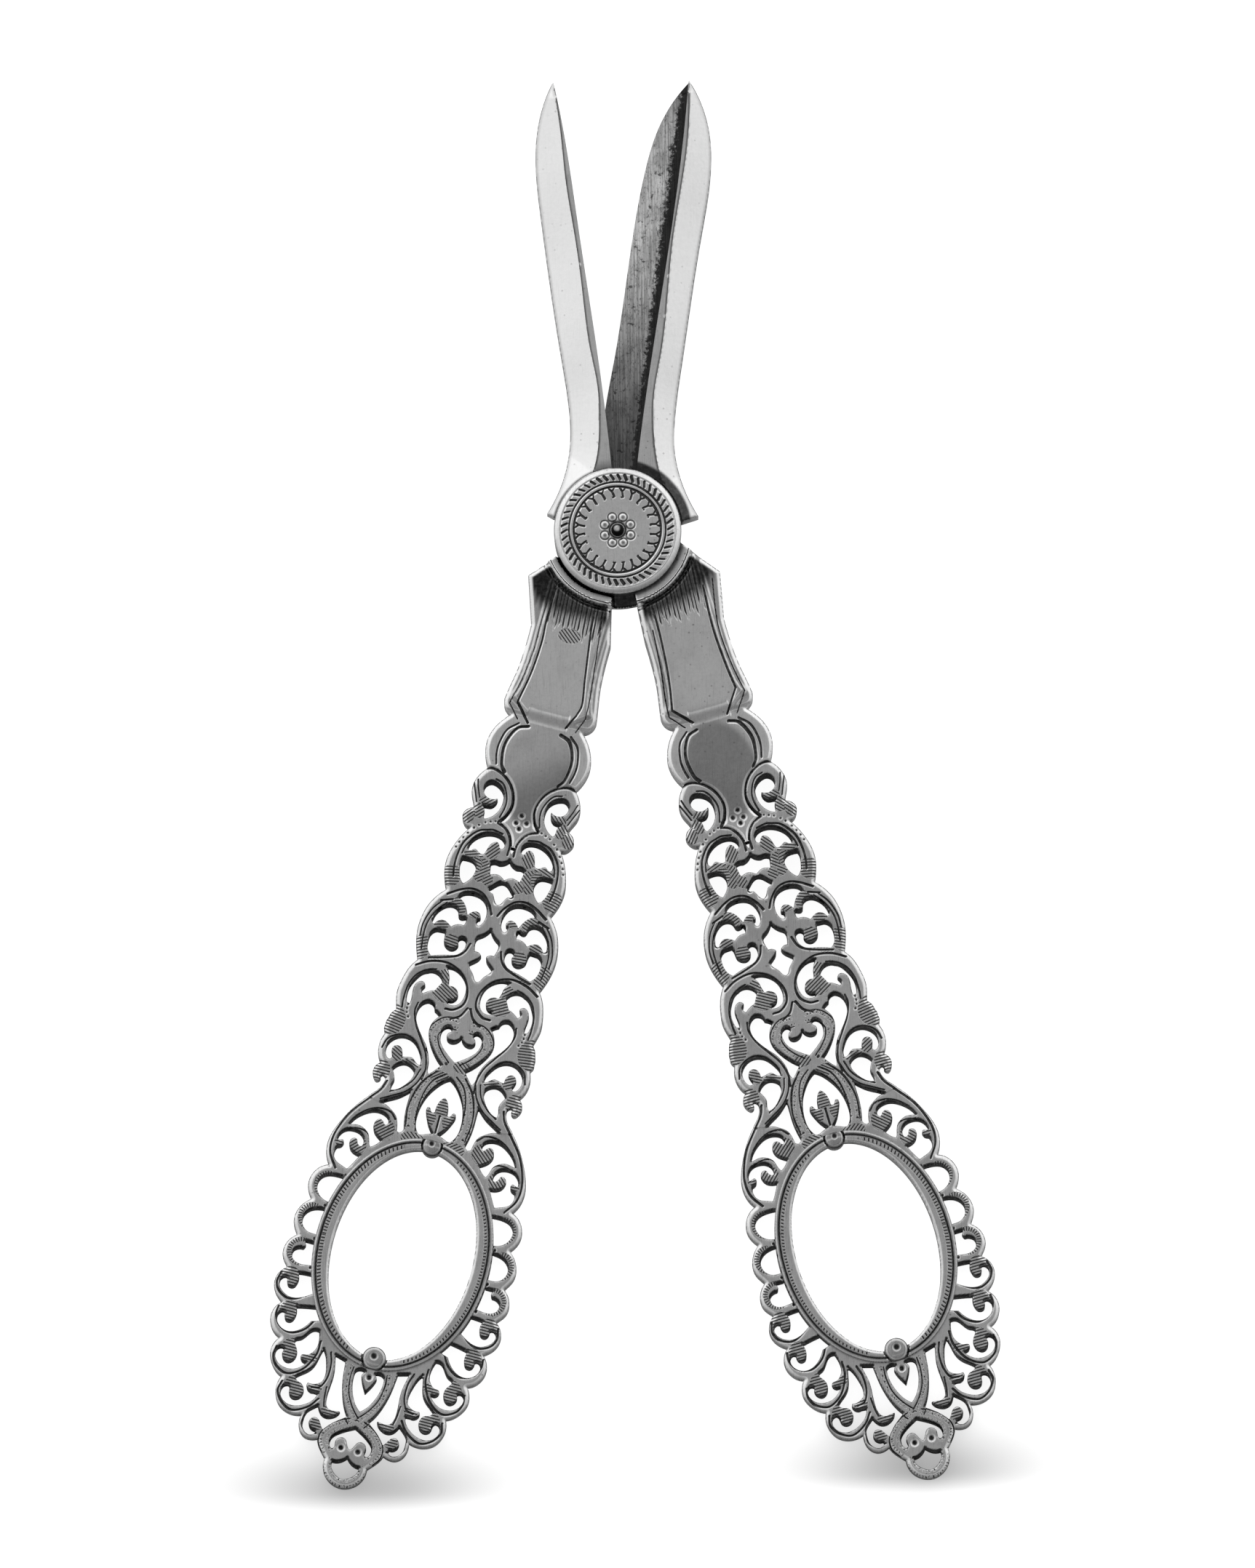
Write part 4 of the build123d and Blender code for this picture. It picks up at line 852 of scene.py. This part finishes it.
class Tree:
    """Short calls for a shader's nodes."""

    def __init__(self, tree):
        self.t = tree
        tree.nodes.clear()

    def add(self, kind, inputs=None, **props):
        n = self.t.nodes.new(kind)
        for k, v in props.items():
            setattr(n, k, v)
        for k, v in (inputs or {}).items():
            if isinstance(v, bpy.types.NodeSocket):
                self.t.links.new(v, n.inputs[k])
            else:
                n.inputs[k].default_value = v
        return n

    def millimetres(self, **props):
        """Object coordinates in millimetres."""
        place = self.add("ShaderNodeTexCoord", **props).outputs["Object"]
        return self.add("ShaderNodeVectorMath", {0: place, 3: 1000.0}, operation="SCALE").outputs[0]

    def along(self, vector, direction):
        """How far a vector points along a direction."""
        return self.add("ShaderNodeVectorMath", {0: vector, 1: Vector(direction).normalized()},
                        operation="DOT_PRODUCT").outputs["Value"]

    def math(self, op, a, b=0.0, clamp=False):
        return self.add("ShaderNodeMath", {0: a, 1: b}, operation=op, use_clamp=clamp).outputs[0]

    def product(self, a, b):
        return self.math("MULTIPLY", a, b)

    def ramp(self, value, a, b, low=0.0, high=1.0):
        """A smooth step from low at a to high at b."""
        inputs = {"Value": value, "From Min": a, "From Max": b, "To Min": low, "To Max": high}
        return self.add("ShaderNodeMapRange", inputs, interpolation_type="SMOOTHSTEP").outputs["Result"]

    def mix(self, factor, a, b):
        n = self.add("ShaderNodeMix", {0: factor, 6: a, 7: b}, data_type="RGBA")
        return n.outputs[2]

    def noise(self, vector, scale, detail=3.0, rough=0.55, stretch=None, turn=0.0):
        if stretch:
            turned = (0, 0, math.radians(turn))
            vector = self.add("ShaderNodeMapping", {"Vector": vector, "Rotation": turned,
                                                    "Scale": stretch}).outputs[0]
        return self.add("ShaderNodeTexNoise", {"Vector": vector, "Scale": scale, "Detail": detail,
                                               "Roughness": rough}).outputs["Fac"]

    def attribute(self, name):
        return self.add("ShaderNodeAttribute", attribute_name=name).outputs["Fac"]


def grey(level):
    return level, level, level, 1


# The colour of patina settled in the cuts, and also of the painted shade and painted shadow
PATINA_AND_SHADE = grey(0.01)   # what has settled in the cuts


def metal(t, color, roughness, bump, strength, distance):
    """The end of a metal's shader. The bump's distance is in metres."""
    normal = t.add("ShaderNodeBump", {"Height": bump, "Strength": strength,
                                      "Distance": distance}).outputs[0]
    shader = t.add("ShaderNodeBsdfPrincipled", {"Base Color": color, "Metallic": 1.0,
                                                "Roughness": roughness, "Normal": normal})
    t.add("ShaderNodeOutputMaterial", {"Surface": shader.outputs[0]})


def blank(name):
    """A new material and its empty tree."""
    mat = bpy.data.materials.new(name)
    mat.use_nodes = True
    return mat, Tree(mat.node_tree)


def silver(name, clean, tarnished, rough, streak, worn, engraved=True):
    """Old silver: blotchy tarnish, fine scratches and specks, dark patina in the engraving, and painted
    shade and highlights from the relief's attributes.
    """
    mat, t = blank(name)
    mm = t.millimetres()
    cloud = t.noise(mm, 0.16, 4.0, 0.6)
    grain = t.noise(mm, 2.2, 4.0, 0.6)
    tarnish = t.math("ADD", t.product(t.ramp(cloud, 0.4, 0.68), 0.35),
                     t.product(t.ramp(grain, 0.4, 0.75), 0.3), clamp=True)
    marks = []
    for turn in (18, -49, 88):
        fine = t.noise(mm, 1.0, 2.0, 0.5, stretch=(9.0, 0.35, 1.0), turn=turn)
        marks.append(t.ramp(fine, 0.63, 0.68))
    scratch = t.math("MAXIMUM", t.math("MAXIMUM", marks[0], marks[1]), marks[2])
    speck = t.add("ShaderNodeTexVoronoi", {"Vector": mm, "Scale": 0.9}).outputs["Distance"]
    speck = t.ramp(speck, 0.16, 0.06)
    color = t.mix(tarnish, grey(clean), grey(tarnished))
    if engraved:
        color = t.mix(t.attribute("wear_and_highlight"), color, grey(0.95))
    color = t.mix(t.product(scratch, worn), color, grey(0.29))
    spotted = t.ramp(t.noise(mm, 0.11, 2.0, 0.5), 0.4, 0.62, 0.12, 0.3 + worn)
    color = t.mix(t.product(speck, spotted), color, grey(0.085))
    bump = t.math("ADD", t.product(grain, 0.5), t.product(scratch, -0.3))
    if engraved:
        near = t.attribute("near")
        groove = t.ramp(near, 1.0, 0.8)
        # Painted shade: each engraved line is darkened on its flank towards LIT and left bright on the far
        # flank
        dark = t.product(groove, t.ramp(t.attribute("lean"), 0.6, 0.15, 0.0, 0.98))
        wave = t.math("COSINE", t.product(t.attribute("phase"), 2 * math.pi))
        patch, cut = t.ramp(t.attribute("hatched"), 0.05, 0.5), t.ramp(wave, -0.25, 0.5)
        hatch = t.product(patch, cut)
        dark = t.math("MAXIMUM", dark, t.product(hatch, 0.92))
        ridge = t.product(patch, t.math("SUBTRACT", 1.0, cut))
        # The dark attribute: patina in the cuts, soot, and painted shade and shadow round the holes, the
        # disc and the lap plate
        darkening = t.attribute("dark")
        spare = t.product(t.math("SUBTRACT", 1.1, darkening), t.product(ridge, 0.85))
        dark = t.math("MAXIMUM", dark, t.product(darkening, t.math("SUBTRACT", 1.0, spare)))
        dark = t.math("MAXIMUM", dark, t.attribute("side"))
        dark = t.product(dark, t.ramp(grain, 0.25, 0.6, 0.94, 1.0))
        color = t.mix(dark, color, PATINA_AND_SHADE)
        depth = t.math("SUBTRACT", 1.0, t.math("MINIMUM", near, 1.0))
        bump = t.math("SUBTRACT", t.product(depth, -2.6), t.product(hatch, 0.9))
        bump = t.math("ADD", bump, t.product(grain, 0.25))
    else:   # the pin's nose is bright in its middle alone
        # Painted shade over the pin's nose, with a painted highlight left just off its middle
        axes = t.add("ShaderNodeSeparateXYZ", {0: mm}).outputs
        x, y = t.math("ADD", axes[0], 0.08), t.math("SUBTRACT", axes[1], 0.12)
        off = t.math("SQRT", t.math("ADD", t.product(x, x), t.product(y, y)))
        color = t.mix(t.product(t.ramp(off, 0.12, 0.5), t.ramp(axes[2], 2.0, 3.0)), color, PATINA_AND_SHADE)
    roughness = t.math("ADD", t.product(grain, streak), rough)
    metal(t, color, roughness, bump, 1.0, 0.00004)
    return mat


def steel(name):
    """Carbon steel, ground lengthways, pitted, and black along the silver back and near the pivot."""
    mat, t = blank(name)
    mm = t.millimetres()
    along = t.noise(mm, 1.0, 3.0, 0.6, stretch=(6.0, 0.12, 1.0), turn=9)
    cloud = t.noise(mm, 0.3, 4.0, 0.65)
    grain = t.noise(mm, 2.8, 4.0, 0.6)
    pit = t.ramp(t.noise(mm, 1.2, 3.0, 0.6), 0.6, 0.7)
    axes = t.add("ShaderNodeSeparateXYZ", {0: mm}).outputs
    # How far a point lies to the left of the silver back's edge, mm
    beside = t.math("SUBTRACT", t.math("ADD", t.product(axes[1], 0.1435), 1.45), axes[0])
    color = t.mix(t.ramp(along, 0.36, 0.64), grey(0.5), grey(1.0))
    color = t.mix(t.product(t.ramp(cloud, 0.42, 0.66), 0.36), color, grey(0.137))
    color = t.mix(t.product(pit, 0.75), color, grey(0.033))
    fine = t.noise(mm, 3.2, 3.0, 0.75, stretch=(1.6, 0.6, 1.0), turn=9)
    color = t.mix(t.product(t.ramp(fine, 0.5, 0.68), 0.62), color, grey(0.05))
    ragged = t.math("ADD", beside, t.product(t.math("SUBTRACT", grain, 0.5), 2.4))
    shadow = t.math("MAXIMUM", t.ramp(ragged, 1.6, 0.75), t.ramp(axes[1], 44.0, 8.0, 0.0, 0.9))
    shadow = t.math("MAXIMUM", shadow, t.ramp(axes[1], 46.0, 58.0, 0.0, 0.5))
    color = t.mix(t.product(shadow, 0.96), color, grey(0.014))
    roughness = t.math("ADD", t.product(grain, 0.25), 0.3)
    metal(t, color, roughness, t.math("ADD", along, t.product(pit, -0.8)), 0.35, 0.00008)
    return mat


MATERIALS = {   # clean and tarnished greys, roughness, how far it varies, strength of scratches
    "silver": silver("old_silver", 0.94, 0.6, 0.14, 0.12, 0.2),
    "worn_silver": silver("worn_silver", 0.77, 0.5, 0.16, 0.14, 0.25),
    "bright_silver": silver("polished_silver", 0.95, 0.88, 0.12, 0.08, 0.05),
    "blade_steel": steel("ground_steel"),
    "pin_silver": silver("pin_silver", 0.8, 0.5, 0.24, 0.16, 0.3, engraved=False),
}
BODY = {node: body for body, nodes in frame["record"]["behaviour"]["bodies"].items() for node in nodes}


def dress(ob, node, look):
    """The piece takes the place of a CAD node, with its material and its body."""
    ob.data.materials.append(MATERIALS[look])
    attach(ob, BODY[node])
    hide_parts(node)


build_handles()
build_blades()
build_disc()
for node, look in (("pivot_pin", "pin_silver"), ("rear_cap", "pin_silver"),
                   ("right_blade_plate", "blade_steel"), ("left_blade_edge", "blade_steel")):
    for slot in frame["nodes"][node].material_slots:
        slot.material = MATERIALS[look]


# Light: bright all round, dimmer straight above where the camera stood
world = bpy.data.worlds.new("world")
bpy.context.scene.world = world
world.use_nodes = True
t = Tree(world.node_tree)
way = t.add("ShaderNodeTexCoord").outputs["Generated"]
DIM_FROM, DIM_TO = math.cos(math.radians(13)), math.cos(math.radians(23))
overhead = t.ramp(t.along(way, (0.06, 0.1, 0.993)), DIM_FROM, DIM_TO, 0.36, 0.92)
glow = t.product(overhead, t.ramp(t.along(way, (-0.05, 0.92, 0.1)), -0.8, 0.8, 0.25, 1.12))
rays = t.add("ShaderNodeLightPath").outputs
glow = t.add("ShaderNodeMix", {0: rays["Is Camera Ray"], 2: glow, 3: 1.0}, data_type="FLOAT").outputs[0]
back = t.add("ShaderNodeBackground", {"Color": grey(1), "Strength": glow})
t.add("ShaderNodeOutputWorld", {"Surface": back.outputs[0]})

# White floor that holds the shadow, and a painted soft shadow at each handle's foot that moves with that
# handle
FOOT_SHADOWS = [  # handle, middle x and y, reach sideways, up and down in millimetres, depth
    ("left", -32.8, -121.1, 15.0, 5.2, 2.5, 0.53), ("right", 36.0, -119.4, 13.5, 5.2, 2.4, 0.55),
    ("left", -33.8, -119.8, 32.0, 8.0, 3.6, 0.15), ("right", 37.0, -118.2, 29.0, 8.0, 3.6, 0.15),
]
HALF, FLOOR_Z = 1.5, -0.0002   # metres
me = bpy.data.meshes.new("floor")
me.from_pydata([(x, y, FLOOR_Z) for x, y in ((-HALF, -HALF), (HALF, -HALF), (HALF, HALF), (-HALF, HALF))],
               [], [(0, 1, 2, 3)])
floor = bpy.data.objects.new("floor", me)
bpy.context.scene.collection.objects.link(floor)
mat, t = blank("paper")
rays = t.add("ShaderNodeLightPath").outputs
seen = t.math("MAXIMUM", rays["Is Camera Ray"], rays["Is Transmission Ray"])
light = 1.0
for hand, x, y, wide, above, under, depth in FOOT_SHADOWS:
    mm = t.millimetres(object=bpy.data.objects[f"{hand}_grip_engraved"])
    axes = t.add("ShaderNodeSeparateXYZ", {0: mm}).outputs
    across = t.math("DIVIDE", t.math("SUBTRACT", axes[0], x), wide)
    rise = t.math("SUBTRACT", axes[1], y)
    over = t.math("DIVIDE", t.math("MAXIMUM", rise, 0.0), above)
    down = t.math("DIVIDE", t.math("MINIMUM", rise, 0.0), under)
    q = t.math("ADD", t.product(across, across),
               t.math("ADD", t.product(over, over), t.product(down, down)))
    soft = t.product(t.math("EXPONENT", t.product(q, -1.0)), depth)
    light = t.product(t.math("SUBTRACT", 1.0, soft), light)
pale = t.product(light, 0.6)
pale = t.add("ShaderNodeCombineColor", {0: pale, 1: pale, 2: pale}).outputs[0]
matte = t.add("ShaderNodeBsdfDiffuse", {"Color": pale})
glow = t.add("ShaderNodeEmission", {"Color": grey(1), "Strength": t.product(t.product(seen, 0.92), light)})
both = t.add("ShaderNodeAddShader", {0: matte.outputs[0], 1: glow.outputs[0]})
t.add("ShaderNodeOutputMaterial", {"Surface": both.outputs[0]})
me.materials.append(mat)

bpy.context.scene.view_settings.view_transform = "Standard"
